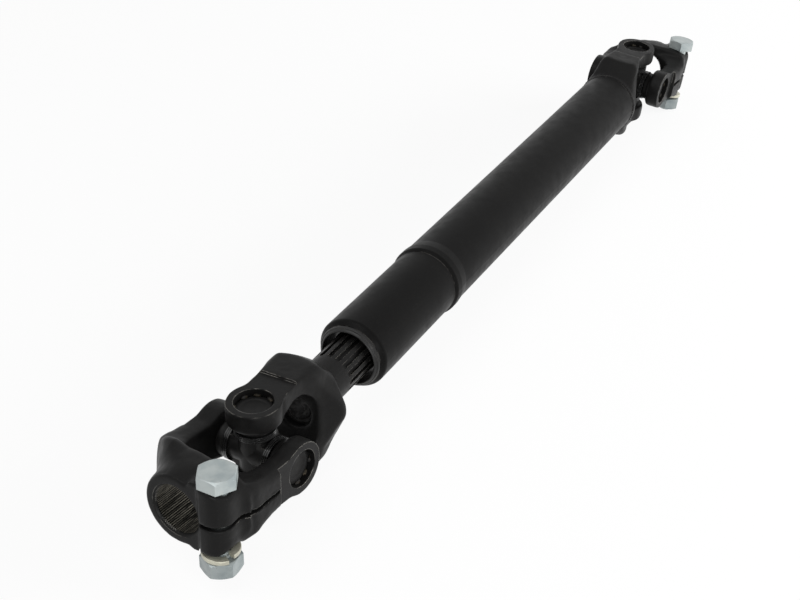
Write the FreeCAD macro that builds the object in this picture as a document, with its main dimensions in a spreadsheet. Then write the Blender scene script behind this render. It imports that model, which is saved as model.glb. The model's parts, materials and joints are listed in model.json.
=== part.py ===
import FreeCAD, Part
import math
import os
import re

import Sketcher
from FreeCAD import Placement, Rotation, Vector

# Telescopic shaft with a universal joint at each end, in millimetres.
# +X runs along the shaft from the near clamp yoke to the far one, +Z is up, and the
# origin is the centre of the near clamp yoke's serrated bore, where the teeth begin
# behind the chamfer of the mouth.

os.makedirs("parts", exist_ok=True)
doc = FreeCAD.newDocument("universal_joint_shaft")

# ---------------------------------------------------------------- driving dimensions

SIZES = [
    # how far cuts reach past the surfaces that they open
    ("overcut", 1.0, "small cuts, and roots sunk into the piece that they grow from"),
    ("cut_reach", 12.0, "broad cuts round a forging"),
    # where the joints stand
    ("joint_span", 503.0, "cross centre to cross centre"),
    ("near_swing", -5.4, "rest angle of the near cross about its upright arms, degrees"),
    ("near_tilt", 2.1, "rest angle of the near clamp yoke about its level arms, degrees"),
    ("far_phase", 5.9, "twist of the tube yoke against the shaft yoke, degrees"),
    ("far_swing", -0.7, "rest angle of the far cross about its upright arms, degrees"),
    ("far_tilt", 6.1, "rest angle of the far clamp yoke about its level arms, degrees"),
    # bearing cups, shared by all four yokes
    ("cup_radius", 9.525, "three quarter inch bearing cup"),
    ("cup_reach", 23.6, "cross centre to the cup's outer face"),
    ("cup_length", 9.8, "outer face to open rim"),
    ("cup_floor", 1.8, "thickness of the closed end"),
    ("cup_wall", 1.45, "thickness of the drawn wall"),
    ("cup_round", 1.0, "rounding of the closed end"),
    ("press_gap", 0.01, "drawn clearance of a press fit"),
    ("run_gap", 0.03, "radial clearance of a rolling fit"),
    ("pad_thickness", 0.9, "thrust pad under the cup floor"),
    ("needle_radius", 1.0, "needle roller"),
    ("needle_length", 7.4, "needle roller"),
    ("needle_inset", 0.5, "needle rollers behind the cup's rim"),
    ("needle_count", 21, "rollers in one cup"),
    # cross and seals
    ("arm_boss_radius", 8.6, "thick root of each arm"),
    ("arm_boss_reach", 10.4, "cross centre to the shoulder under the seal"),
    ("web_thickness", 13.0, "forged web between the arms"),
    ("web_half", 8.0, "half width of the web"),
    ("web_corner", 1.1, "inside corner of the web"),
    ("seal_radius", 10.2, "outer radius of the seal ribs"),
    ("seal_rib", 0.7, "depth of the grooves between the ribs"),
    ("rib_share", 0.7, "rib's share of its pitch"),
    ("seal_gap", 0.3, "seal rib to cup rim"),
    # forks that the shaft and the tube carry
    ("ear_recess", 3.8, "cup to the machined ear face"),
    ("ear_inner", 16.6, "cross centre to the inside of the ear"),
    ("ear_round", 1.2, "rounding of the raw edges of the ears"),
    ("ear_radius", 13.5, "round end of the ear"),
    ("neck_half", 10.6, "half width of the arm behind the ear"),
    ("ear_allowance", 1.3, "raw forging outside the machined ear face"),
    ("shoulder_x", 20.7, "cross centre to the end of the machined face"),
    ("throat_x", 33.0, "depth of the fork"),
    ("throat_half", 19.0, "half height of the fork's opening"),
    ("throat_corner", 13.0, "corner radius at the bottom of the fork"),
    ("flank_half", 15.2, "half width of the fork beside the bottom of the opening"),
    ("hub_half", 22.3, "half width of the shaft yoke's hub"),
    ("hub_rim", 23.8, "radius of the shaft yoke's hub at its back"),
    ("tube_hub_half", 20.6, "half width of the tube yoke's hub"),
    ("tube_hub_rim", 21.4, "radius of the tube yoke's hub at its back"),
    ("hub_back", 47.0, "cross centre to the back of the hub"),
    ("hub_round", 3.0, "rounding of the hub's back"),
    ("hub_slope", 0.79, "fall of the hub towards its back"),
    ("hump_half", 13.6, "half width of the raw hump above the fork"),
    ("hump_round", 7.0, "rounding of the raw hump seen along the shaft"),
    ("waist_half", 15.0, "half width of the hub beside the hump"),
    ("waist_height", 18.5, "height of the waist beside the hump"),
    ("waist_round", 8.0, "rounding of the waist seen along the shaft"),
    ("lobe_round", 12.0, "rounding of the hub's side lobes seen along the shaft"),
    ("lobe_tip", 1.3, "corner of a lobe before rounding, outside the hub's half width"),
    ("root_start", 1.0, "start of the step inside the fork, within the ear radius"),
    ("root_step", 4.0, "end of that step, beyond the ear radius"),
    ("root_round", 3.0, "small roundings inside the fork"),
    ("arm_sweep", 12.0, "wide roundings of the arms seen from above"),
    ("ear_sweep", 6.0, "rounding between an ear and its arm"),
    ("ear_hip", 0.76, "where the arm meets the ear, share of the ear radius"),
    ("ear_side", 0.2, "where the round end begins, share of the ear radius"),
    ("full_round", 0.985, "rounding of a round end, share of its radius"),
    ("neck_bend", 3.5, "bend of the arm behind the machined face"),
    ("neck_flare", 0.4, "widening of the arm from the ear to that bend"),
    ("flank_bend", 2.0, "bend of the flank behind the bottom of the fork"),
    ("shoulder_run", 0.5, "length of the step beside a machined face"),
    ("hub_bore_radius", 9.0, "seat of the shaft in the hub"),
    # clamp yokes
    ("clamp_recess", 3.3, "cup to the machined ear face"),
    ("clamp_inner", 17.0, "cross centre to the inside of the ear"),
    ("clamp_ear_radius", 13.4, "round end of the ear"),
    ("left_recess", 4.5, "cup to the machined face away from the bolt"),
    ("clamp_neck_half", 10.9, "half height of the arm"),
    ("clamp_allowance", 2.3, "raw side with the bolt outside its machined face"),
    ("left_allowance", 2.9, "raw side away from the bolt outside its machined face"),
    ("arm_round", 2.4, "rounding of the raw arms"),
    ("inner_round", 2.0, "rounding of the arms towards the cross"),
    ("crest_round", 2.0, "rounding of the block's upper and lower edges"),
    ("clamp_shoulder", 18.0, "cross centre to the end of the machined face"),
    ("clamp_throat", 35.0, "depth of the fork"),
    ("clamp_throat_corner", 11.0, "corner radius at the bottom of the fork"),
    ("head_side", 19.6, "bore axis to the side of the block under the bolt head"),
    ("nut_side", 17.6, "bore axis to the side of the block towards the nut"),
    ("clamp_root_half", 18.0, "half height of the arms' roots inside the block"),
    ("clamp_root_x", 47.0, "cross centre to the end of the arms' slope"),
    ("clamp_arm_half", 11.7, "half height of the arms beside the throat"),
    ("clamp_corner", 13.0, "rounding of the block beside the bolt seen along the bore"),
    ("left_corner", 16.0, "rounding of the block away from the bolt seen along the bore"),
    ("crest_sweep", 20.0, "bends of the block's edge above the throat"),
    ("crest_left_y", 11.4, "bore axis to the bend of that edge away from the bolt"),
    ("crest_bolt_y", 5.7, "bore axis to the bend of that edge towards the bolt"),
    ("crest_left", 34.3, "cross centre to the block's edge at the left arm"),
    ("crest_middle", 36.0, "cross centre to the block's edge at the bore axis"),
    ("crest_right", 39.0, "cross centre to the block's edge at the right arm"),
    ("arm_bend_x", 27.0, "cross centre to the foot of the arms' slope"),
    ("bend_x", 35.5, "cross centre to the bend of the raw side with the bolt"),
    ("left_bend_x", 38.0, "cross centre to the bend of the raw side away from the bolt"),
    ("bend_round", 8.0, "rounding of those bends"),
    ("valley_x", 42.5, "cross centre to the valley in front of the boss"),
    ("valley_y", 26.3, "bore axis to the valley in front of the boss"),
    ("valley_round", 6.0, "rounding of the valley"),
    ("flank_x", 47.0, "cross centre to the bend of the round flank"),
    ("flank_y", 19.6, "radius of the round flank at its bend"),
    ("flank_slope", 0.9, "rise of the round flank towards the left arm"),
    ("mouth_x", 56.2, "cross centre to the mouth of the bore"),
    ("collar_radius", 18.3, "outside of the block at the mouth"),
    ("collar_round", 1.5, "rounding of the block at the mouth"),
    ("serration_count", 79, "teeth of the one inch serration"),
    ("crest_radius", 12.35, "inner ends of the teeth"),
    ("root_radius", 12.85, "bottom of the tooth gaps"),
    ("bore_chamfer", 0.75, "chamfer of the mouth beyond the tooth gaps"),
    ("boss_x", 49.2, "cross centre to the bolt axis"),
    ("boss_y", 19.0, "bore axis to the bolt axis"),
    ("boss_radius", 8.9, "boss around the bolt"),
    ("boss_flat", 4.0, "bolt axis to the end of the boss's flat front"),
    ("boss_step", 2.0, "length of the slope from there to the mouth"),
    ("nut_seat", 15.2, "bore axis to the spot face under the nut"),
    ("seat_gap", 0.3, "spring washer to the edge of its spot face"),
    ("slot_width", 2.2, "saw cut of the clamp"),
    # clamp bolt, spring washer and nut
    ("thread_radius", 5.0, "M10"),
    ("bolt_hole_gap", 0.3, "bolt to its hole"),
    ("across_flats", 17.0, "hexagon of head and nut"),
    ("chamfer_land", 16.4, "diameter inside the chamfer of head and nut"),
    ("head_height", 6.4, "bolt head"),
    ("nut_height", 8.2, "nut"),
    ("bolt_tip", 2.0, "thread beyond the nut"),
    ("thread_chamfer", 1.0, "end of the bolt"),
    ("washer_radius", 9.05, "spring washer"),
    ("washer_thickness", 2.2, "spring washer"),
    ("washer_height", 4.2, "spring washer, ends apart"),
    ("washer_bore_gap", 0.15, "spring washer to bolt"),
    ("washer_sweep", 345.0, "turn of the spring washer from end to end, degrees"),
    ("near_head_turn", 34.6, "turn of the near bolt's hexagon, degrees"),
    ("far_head_turn", 17.5, "turn of the far bolt's hexagon, degrees"),
    ("near_nut_turn", 10.0, "turn of the near nut, degrees"),
    ("far_nut_turn", 14.7, "turn of the far nut, degrees"),
    # splined shaft
    ("shaft_radius", 12.1, "across the splines"),
    ("shaft_face_x", 37.0, "cross centre to the face inside the fork"),
    ("spline_count", 16, "splines"),
    ("spline_depth", 1.9, "depth of the gaps"),
    ("spline_gap_width", 2.5, "width of the gaps"),
    ("spline_start", 71.0, "cross centre to the full depth of the gaps"),
    ("spline_runout", 7.5, "length over which the gaps fade out"),
    ("shaft_end", 172.0, "cross centre to the end inside the sleeve"),
    ("shaft_chamfer", 1.5, "chamfer of the shaft's ends"),
    ("centre_mouth", 3.6, "radius of the centre hole at the face"),
    ("centre_drill", 1.08, "radius of the centre hole behind its cone"),
    ("centre_cone", 2.25, "depth of the centre hole's cone"),
    ("centre_depth", 4.5, "depth of the centre hole"),
    # spline sleeve
    ("slide_gap", 0.1, "clearance of the sliding splines"),
    ("sleeve_radius", 19.85, "outside of the sleeve"),
    ("nose_x", 84.7, "cross centre to the sleeve's nose"),
    ("nose_taper", 5.4, "length of the tapered nose"),
    ("nose_round", 3.0, "rounding behind the tapered nose"),
    ("sleeve_step", 2.0, "length of the slopes in front of the splines and behind the tube's rim"),
    ("retainer_radius", 17.5, "retainer ring in the nose"),
    ("retainer_bore", 15.0, "retainer ring in the nose"),
    ("retainer_length", 7.0, "retainer ring in the nose"),
    ("wiper_length", 5.0, "rubber wiper behind the retainer"),
    ("wiper_gap", 0.3, "wiper lip to the splines"),
    ("sleeve_spline_start", 104.0, "cross centre to the sleeve's splines"),
    ("sleeve_spline_length", 66.0, "length of the sleeve's splines"),
    ("spigot_length", 40.0, "part of the sleeve inside the tube"),
    ("spigot_bore", 14.0, "bore behind the splines"),
    ("plug_thickness", 3.0, "sealing plug"),
    ("plug_inset", 1.0, "sealing plug inside the spigot's end"),
    # tube
    ("tube_radius", 20.3, "outside of the tube"),
    ("tube_wall", 2.8, "wall of the tube"),
    ("tube_start", 169.5, "cross centre to the tube's front rim"),
    ("lip_radius", 21.05, "crest of the rolled lip"),
    ("lip_length", 13.0, "length of the rolled lip"),
    ("lip_round", 5.0, "rounding of the rolled lip"),
    ("weld_radius", 1.4, "weld bead between tube and yoke"),
    ("tube_spigot", 9.0, "part of the tube yoke inside the tube"),
]

sheet = doc.addObject("Spreadsheet::Sheet", "Sizes")
for row, (name, value, meaning) in enumerate(SIZES, start=1):
    sheet.set(f"A{row}", name)
    sheet.set(f"B{row}", str(value))
    sheet.setAlias(f"B{row}", name)
    sheet.set(f"C{row}", meaning)
doc.recompute()
NAMES = {name for name, value, meaning in SIZES}


def num(text):
    """Value of an expression written in the sheet's names."""
    return float(sheet.evalExpression(text))


def bound(text):
    """The same expression, as an object outside the sheet writes it."""
    return re.sub(r"[a-z][a-z0-9_]*", lambda word: "Sizes." + word[0] if word[0] in NAMES else word[0], text)


def bind(thing, field, text):
    thing.setExpression(field, bound(text))


# ------------------------------------------------------------------ sketching helpers


def new_body(label):
    body = doc.addObject("PartDesign::Body", label)
    body.Label = label
    return body


def origin_feature(body, role):
    return next(part for part in body.Origin.OriginFeatures if part.Role == role)


def new_sketch(body, plane, label, offset="0"):
    """Sketch on one of the body's own planes, shifted along its normal by offset."""
    sketch = body.newObject("Sketcher::SketchObject", f"{body.Label}_{label}")
    sketch.AttachmentSupport = [(origin_feature(body, plane), "")]
    sketch.MapMode = "FlatFace"
    if offset != "0":
        sketch.AttachmentOffset = Placement(Vector(0, 0, num(offset)), Rotation())
        bind(sketch, "AttachmentOffset.Base.z", offset)
    return sketch


def pin(sketch, geometry, point, x_text, y_text):
    """Fix one point of a sketch at a place given by two expressions."""
    for kind, text, axis in (("DistanceX", x_text, -2), ("DistanceY", y_text, -1)):
        if text == "0":
            sketch.addConstraint(Sketcher.Constraint("PointOnObject", geometry, point, axis))
            continue
        index = sketch.addConstraint(Sketcher.Constraint(kind, -1, 1, geometry, point, num(text)))
        sketch.setExpression(f"Constraints[{index}]", bound(text))


def circle(sketch, x_text, y_text, radius_text):
    centre = Vector(num(x_text), num(y_text), 0)
    index = sketch.addGeometry(Part.Circle(centre, Vector(0, 0, 1), num(radius_text)), False)
    pin(sketch, index, 3, x_text, y_text)
    rule = sketch.addConstraint(Sketcher.Constraint("Radius", index, num(radius_text)))
    sketch.setExpression(f"Constraints[{rule}]", bound(radius_text))


def outline(sketch, corners):
    """Close a loop through corners (x, y) or (x, y, radius); a radius rounds its corner."""
    places = [Vector(num(corner[0]), num(corner[1]), 0) for corner in corners]
    radii = [num(corner[2]) if len(corner) > 2 else 0.0 for corner in corners]
    count = len(corners)
    entry = []
    leave = []
    for i in range(count):
        here = places[i]
        back = (places[i - 1] - here).normalize()
        ahead = (places[(i + 1) % count] - here).normalize()
        trim = radii[i] / math.tan(back.getAngle(ahead) / 2) if radii[i] else 0.0
        entry.append(here + back * trim)
        leave.append(here + ahead * trim)
    lines = []
    for i in range(count):
        end = entry[(i + 1) % count]
        lines.append(sketch.addGeometry(Part.LineSegment(leave[i], end), False))
    for i in range(count):
        before = lines[i - 1]
        after = lines[i]
        x_text, y_text = corners[i][0], corners[i][1]
        if not radii[i]:
            sketch.addConstraint(Sketcher.Constraint("Coincident", before, 2, after, 1))
            pin(sketch, after, 1, x_text, y_text)
            continue
        back = (places[i - 1] - places[i]).normalize()
        ahead = (places[(i + 1) % count] - places[i]).normalize()
        half = back.getAngle(ahead) / 2
        centre = places[i] + (back + ahead).normalize() * (radii[i] / math.sin(half))
        left_turn = back.cross(ahead).z < 0
        first, last = (entry[i], leave[i]) if left_turn else (leave[i], entry[i])
        start = math.atan2(first.y - centre.y, first.x - centre.x)
        stop = math.atan2(last.y - centre.y, last.x - centre.x)
        if stop < start:
            stop += 2 * math.pi
        ring = Part.Circle(centre, Vector(0, 0, 1), radii[i])
        arc = sketch.addGeometry(Part.ArcOfCircle(ring, start, stop), False)
        corner = sketch.addGeometry(Part.Point(places[i]), True)
        arc_entry, arc_leave = (1, 2) if left_turn else (2, 1)
        sketch.addConstraint(Sketcher.Constraint("Tangent", before, 2, arc, arc_entry))
        sketch.addConstraint(Sketcher.Constraint("Tangent", after, 1, arc, arc_leave))
        sketch.addConstraint(Sketcher.Constraint("PointOnObject", corner, 1, before))
        sketch.addConstraint(Sketcher.Constraint("PointOnObject", corner, 1, after))
        rule = sketch.addConstraint(Sketcher.Constraint("Radius", arc, radii[i]))
        sketch.setExpression(f"Constraints[{rule}]", bound(corners[i][2]))
        pin(sketch, corner, 1, x_text, y_text)


def mirrored_outline(sketch, half):
    """Loop from corners on the upper side of the X axis, repeated below it."""
    above = [corner for corner in half if corner[1] != "0"]
    lower = [(corner[0], f"-({corner[1]})") + tuple(corner[2:]) for corner in reversed(above)]
    outline(sketch, list(half) + lower)


# ------------------------------------------------------------------- feature helpers


def pad(body, sketch, length, symmetric=True):
    feature = body.newObject("PartDesign::Pad", f"{sketch.Label}_pad")
    feature.Profile = sketch
    feature.SideType = "Symmetric" if symmetric else "One side"
    bind(feature, "Length", length)
    return feature


def pocket(body, sketch, length=None, symmetric=True, reverse=False):
    """Cut a sketch out of the body, right through when no length is given."""
    feature = body.newObject("PartDesign::Pocket", f"{sketch.Label}_cut")
    feature.Profile = sketch
    feature.SideType = "Symmetric" if symmetric else "One side"
    feature.Reversed = reverse
    if length is None:
        feature.Type = "ThroughAll"
    else:
        bind(feature, "Length", length)
    return feature


def revolve(body, sketch, axis, cut=False, angle=360):
    """Turn a sketch about an axis of its body, to both sides of its plane."""
    kind = "PartDesign::Groove" if cut else "PartDesign::Revolution"
    feature = body.newObject(kind, f"{sketch.Label}_turn")
    feature.Profile = sketch
    feature.ReferenceAxis = (origin_feature(body, axis), [""])
    feature.Midplane = True
    feature.Angle = angle
    return feature


def polar(body, feature, axis, count):
    pattern = body.newObject("PartDesign::PolarPattern", f"{feature.Label}_ring")
    pattern.Originals = [feature]
    pattern.Axis = (origin_feature(body, axis), [""])
    pattern.Angle = 360
    bind(pattern, "Occurrences", count)
    body.Tip = pattern
    return pattern


def keep_inside(body, plane, label, half, reach):
    """Cut away all that lies outside an outline, seen square to a plane."""
    sketch = new_sketch(body, plane, label)
    outline(sketch, [
        (f"-({reach})", f"-({reach})"),
        (reach, f"-({reach})"),
        (reach, reach),
        (f"-({reach})", reach),
    ])
    mirrored_outline(sketch, half)
    return pocket(body, sketch)


def round_edges(body, radius, wanted):
    """Fillet the edges of the body's tip that a test picks out."""
    doc.recompute()
    base = body.Tip
    names = [f"Edge{i}" for i, edge in enumerate(base.Shape.Edges, start=1) if wanted(edge)]
    feature = body.newObject("PartDesign::Fillet", f"{base.Label}_round")
    feature.Base = (base, names)
    bind(feature, "Radius", radius)
    return feature


def level_edge(edge, *heights):
    """True for an edge that lies in one of the horizontal planes at these heights."""
    levels = [num(height) for height in heights]
    return any(all(abs(vertex.Point.z - level) < 0.001 for vertex in edge.Vertexes) for level in levels)


# ------------------------------------------------- heights that follow the bearing cups

EAR_FACE = "(cup_reach + ear_recess)"
EAR_RAW = "(cup_reach + ear_recess + ear_allowance)"
CLAMP_FACE = "(cup_reach + clamp_recess)"
CLAMP_RAW = "(cup_reach + clamp_recess + clamp_allowance)"
LEFT_FACE = "(cup_reach + left_recess)"
LEFT_RAW = "(cup_reach + left_recess + left_allowance)"

# ------------------------------------------------------------------------- sub-parts

nodes = {}


def place(label, part, placement):
    part.Label = label
    part.Placement = placement
    nodes[label] = part


def fork(body, half, rim):
    """Forged fork in its own frame: cross centre at the origin, ears up and down, hub at +X."""
    side = new_sketch(body, "XZ_Plane", "side")
    mirrored_outline(side, [
        ("hub_back", EAR_RAW),
        ("-ear_radius", EAR_RAW),
        ("-ear_radius", "ear_inner"),
        ("ear_radius - root_start", "ear_inner", "root_round"),
        ("ear_radius + root_step", "throat_half", "root_round"),
        ("throat_x", "throat_half", "throat_corner"),
    ])
    pad(body, side, f"2 * ({half} + overcut)")
    keep_inside(body, "XY_Plane", "plan", [
        ("hub_back + overcut", half),
        ("hub_back - hub_round", half, "hub_round"),
        ("throat_x + flank_bend", "flank_half", "arm_sweep"),
        ("shoulder_x + neck_bend", "neck_half + neck_flare", "arm_sweep"),
        ("ear_hip * ear_radius", "neck_half", "ear_sweep"),
        ("ear_side * ear_radius", "ear_radius", "0.8 * ear_sweep"),
        ("-ear_radius", "ear_radius", "full_round * ear_radius"),
    ], "3 * hub_back")
    keep_inside(body, "YZ_Plane", "front", [
        (f"{half} + lobe_tip", "0", "lobe_round"),
        ("waist_half", "waist_height", "waist_round"),
        ("hump_half", f"{EAR_RAW} + overcut / 2", "hump_round"),
        ("-hump_half", f"{EAR_RAW} + overcut / 2", "hump_round"),
        ("-waist_half", "waist_height", "waist_round"),
        (f"-({half} + lobe_tip)", "0", "lobe_round"),
    ], "3 * hub_back")
    back = new_sketch(body, "XZ_Plane", "back")
    clear = f"({EAR_RAW} + cut_reach)"
    outline(back, [
        (f"hub_back - overcut - ({clear} - {rim}) / hub_slope", clear),
        ("hub_back - overcut", rim, "hub_round"),
        ("hub_back + overcut", f"{rim} - hub_round"),
        ("hub_back + overcut", clear),
    ])
    revolve(body, back, "X_Axis", cut=True)
    round_edges(body, "ear_round", ear_lip)


def ear_lip(edge):
    """True for an edge round the inside of an ear of a fork."""
    return level_edge(edge, "ear_inner", "-ear_inner") and edge.BoundBox.XMax < num("0.7 * ear_radius")


def finish_fork(body):
    """Machine the ears and the bearing bores of a fork."""
    for sign in ("", "-"):
        face = new_sketch(body, "XZ_Plane", "face_up" if sign == "" else "face_down")
        outline(face, [
            ("-(ear_radius + overcut)", f"{sign}{EAR_FACE}"),
            ("shoulder_x", f"{sign}{EAR_FACE}"),
            ("shoulder_x + shoulder_run", f"{sign}({EAR_RAW} + overcut)"),
            ("-(ear_radius + overcut)", f"{sign}({EAR_RAW} + overcut)"),
        ])
        pocket(body, face)
    bores = new_sketch(body, "XY_Plane", "bores")
    circle(bores, "0", "0", "cup_radius + press_gap")
    pocket(body, bores)


def shaft_yoke():
    body = new_body("shaft_yoke")
    fork(body, "hub_half", "hub_rim")
    finish_fork(body)
    seat = new_sketch(body, "YZ_Plane", "seat")
    circle(seat, "0", "0", "hub_bore_radius + press_gap")
    pocket(body, seat)
    return body


def tube_yoke():
    """Fork with a solid hub that plugs into the tube and carries the weld bead."""
    body = new_body("tube_yoke")
    fork(body, "tube_hub_half", "tube_hub_rim")
    spigot = new_sketch(body, "XY_Plane", "spigot")
    outline(spigot, [
        ("hub_back - hub_round", "0"),
        ("hub_back - hub_round", "tube_radius - overcut"),
        ("hub_back", "tube_radius + weld_radius / 2"),
        ("hub_back + weld_radius", "tube_radius + weld_radius / 2", "weld_radius / 2"),
        ("hub_back + 2 * weld_radius", "tube_radius"),
        ("hub_back + 2 * weld_radius", "tube_radius - tube_wall - press_gap"),
        ("hub_back + 2 * weld_radius + tube_spigot", "tube_radius - tube_wall - press_gap"),
        ("hub_back + 2 * weld_radius + tube_spigot", "0"),
    ])
    revolve(body, spigot, "X_Axis")
    finish_fork(body)
    return body


def splined_shaft():
    body = new_body("splined_shaft")
    core = new_sketch(body, "XY_Plane", "core")
    outline(core, [
        ("shaft_face_x", "0"),
        ("shaft_face_x", "hub_bore_radius - shaft_chamfer / 2"),
        ("shaft_face_x + shaft_chamfer / 2", "hub_bore_radius"),
        ("hub_back", "hub_bore_radius"),
        ("hub_back", "shaft_radius"),
        ("shaft_end - shaft_chamfer", "shaft_radius"),
        ("shaft_end", "shaft_radius - shaft_chamfer"),
        ("shaft_end", "0"),
    ])
    revolve(body, core, "X_Axis")
    centre = new_sketch(body, "XY_Plane", "centre_hole")
    outline(centre, [
        ("shaft_face_x - overcut", "0"),
        ("shaft_face_x - overcut", "centre_mouth"),
        ("shaft_face_x + centre_cone", "centre_drill"),
        ("shaft_face_x + centre_depth", "centre_drill"),
        ("shaft_face_x + centre_depth", "0"),
    ])
    revolve(body, centre, "X_Axis", cut=True)
    gap = new_sketch(body, "XZ_Plane", "spline_gap")
    outline(gap, [
        ("shaft_end + overcut", "shaft_radius - spline_depth"),
        ("shaft_end + overcut", "shaft_radius + overcut"),
        ("spline_start - spline_runout", "shaft_radius + overcut"),
        ("spline_start", "shaft_radius - spline_depth", "spline_runout * 2"),
    ])
    cut = pocket(body, gap, "spline_gap_width")
    polar(body, cut, "X_Axis", "spline_count")
    return body


def spline_sleeve():
    body = new_body("spline_sleeve")
    wall = new_sketch(body, "XY_Plane", "wall")
    spline_end = "sleeve_spline_start + sleeve_spline_length"
    seat_end = "nose_x + retainer_length + wiper_length"
    outline(wall, [
        ("nose_x + nose_taper * (retainer_radius - retainer_bore) / (sleeve_radius - retainer_bore)",
         "retainer_radius + press_gap"),
        ("nose_x + nose_taper", "sleeve_radius", "nose_round"),
        ("tube_start", "sleeve_radius"),
        ("tube_start + sleeve_step", "tube_radius - tube_wall - press_gap"),
        ("tube_start + spigot_length", "tube_radius - tube_wall - press_gap"),
        ("tube_start + spigot_length", "spigot_bore"),
        (spline_end, "spigot_bore"),
        (spline_end, "shaft_radius + slide_gap"),
        ("sleeve_spline_start", "shaft_radius + slide_gap"),
        ("sleeve_spline_start - sleeve_step", "spigot_bore"),
        (seat_end, "spigot_bore"),
        (seat_end, "retainer_radius + press_gap"),
    ])
    revolve(body, wall, "X_Axis")
    tooth = new_sketch(body, "XZ_Plane", "tooth")
    outline(tooth, [
        ("sleeve_spline_start", "shaft_radius - spline_depth + slide_gap"),
        (spline_end, "shaft_radius - spline_depth + slide_gap"),
        (spline_end, "shaft_radius + slide_gap + overcut / 2"),
        ("sleeve_spline_start", "shaft_radius + slide_gap + overcut / 2"),
    ])
    ridge = pad(body, tooth, "spline_gap_width - 2 * slide_gap")
    polar(body, ridge, "X_Axis", "spline_count")
    return body


def turned(label, corners, axis="X_Axis", plane="XY_Plane"):
    """Body of revolution about its own axis."""
    body = new_body(label)
    sketch = new_sketch(body, plane, "profile")
    outline(sketch, corners)
    revolve(body, sketch, axis)
    return body


def retainer_ring():
    taper = "nose_taper * (retainer_radius - retainer_bore) / (sleeve_radius - retainer_bore)"
    return turned("retainer_ring", [
        ("nose_x", "retainer_bore"),
        (f"nose_x + {taper}", "retainer_radius"),
        ("nose_x + retainer_length", "retainer_radius"),
        ("nose_x + retainer_length", "retainer_bore"),
    ])


def wiper_seal():
    start = "nose_x + retainer_length"
    lip = "shaft_radius + wiper_gap"
    return turned("wiper_seal", [
        (start, "retainer_radius"),
        (f"{start} + wiper_length", "retainer_radius"),
        (f"{start} + wiper_length", "spigot_bore"),
        (f"{start} + wiper_length / 2", "spigot_bore"),
        (f"{start} + wiper_length / 5", lip),
        (start, lip),
    ])


def sealing_plug():
    end = "tube_start + spigot_length - plug_inset"
    return turned("sealing_plug", [
        (f"{end} - plug_thickness", "0"),
        (f"{end} - plug_thickness", "spigot_bore - press_gap"),
        (end, "spigot_bore - press_gap"),
        (end, "0"),
    ])


def tube():
    end = "joint_span - hub_back - 2 * weld_radius"
    return turned("tube", [
        ("tube_start", "sleeve_radius + press_gap"),
        ("tube_start + 0.15 * lip_length", "lip_radius", "0.4 * lip_round"),
        ("tube_start + 0.5 * lip_length", "lip_radius", "lip_round"),
        ("tube_start + lip_length", "tube_radius", "lip_round"),
        (end, "tube_radius"),
        (end, "tube_radius - tube_wall"),
        ("tube_start + sleeve_step", "tube_radius - tube_wall"),
    ])


def clamp_arms(label):
    """Both ears of a clamp yoke and their arms, as forged; the block covers their roots."""
    body = new_body(f"{label}_arms")
    plan = new_sketch(body, "XY_Plane", "arms")
    outline(plan, [
        ("-clamp_ear_radius", f"-{CLAMP_RAW}"),
        ("bend_x", f"-{CLAMP_RAW}", "bend_round"),
        ("valley_x", "-valley_y"),
        ("valley_x", "clamp_inner"),
        ("left_bend_x", LEFT_RAW, "bend_round"),
        ("-clamp_ear_radius", LEFT_RAW),
        ("-clamp_ear_radius", "clamp_inner"),
        ("clamp_throat", "clamp_inner", "clamp_throat_corner"),
        ("clamp_throat", "-clamp_inner", "clamp_throat_corner"),
        ("-clamp_ear_radius", "-clamp_inner"),
    ])
    pad(body, plan, "2 * clamp_root_half")
    keep_inside(body, "XZ_Plane", "side", [
        ("clamp_root_x", "clamp_root_half"),
        ("arm_bend_x", "clamp_arm_half", "crest_sweep"),
        ("clamp_shoulder", "clamp_neck_half", "arm_sweep"),
        ("ear_hip * clamp_ear_radius", "clamp_neck_half", "ear_sweep"),
        ("ear_side * clamp_ear_radius", "clamp_ear_radius", "0.8 * ear_sweep"),
        ("-clamp_ear_radius", "clamp_ear_radius", "full_round * clamp_ear_radius"),
    ], "3 * mouth_x")
    round_edges(body, "arm_round", outer_arm_edge)
    round_edges(body, "inner_round", inner_arm_edge)
    return body


def outer_arm_edge(edge):
    """True for an edge along the raw outside of an arm, from ear to block."""
    upright = edge.BoundBox.XLength < 0.001
    raw_sides = (-num(CLAMP_RAW), num(LEFT_RAW))
    on_side = any(all(abs(vertex.Point.y - side) < 0.001 for vertex in edge.Vertexes) for side in raw_sides)
    return on_side and not upright


def inner_arm_edge(edge):
    """True for an edge along the inside of an arm or round the throat."""
    box = edge.BoundBox
    inside = num("clamp_inner") + 0.001
    return box.YMin > -inside and box.YMax < inside and box.XMax < num("clamp_throat") + 0.001


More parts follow.
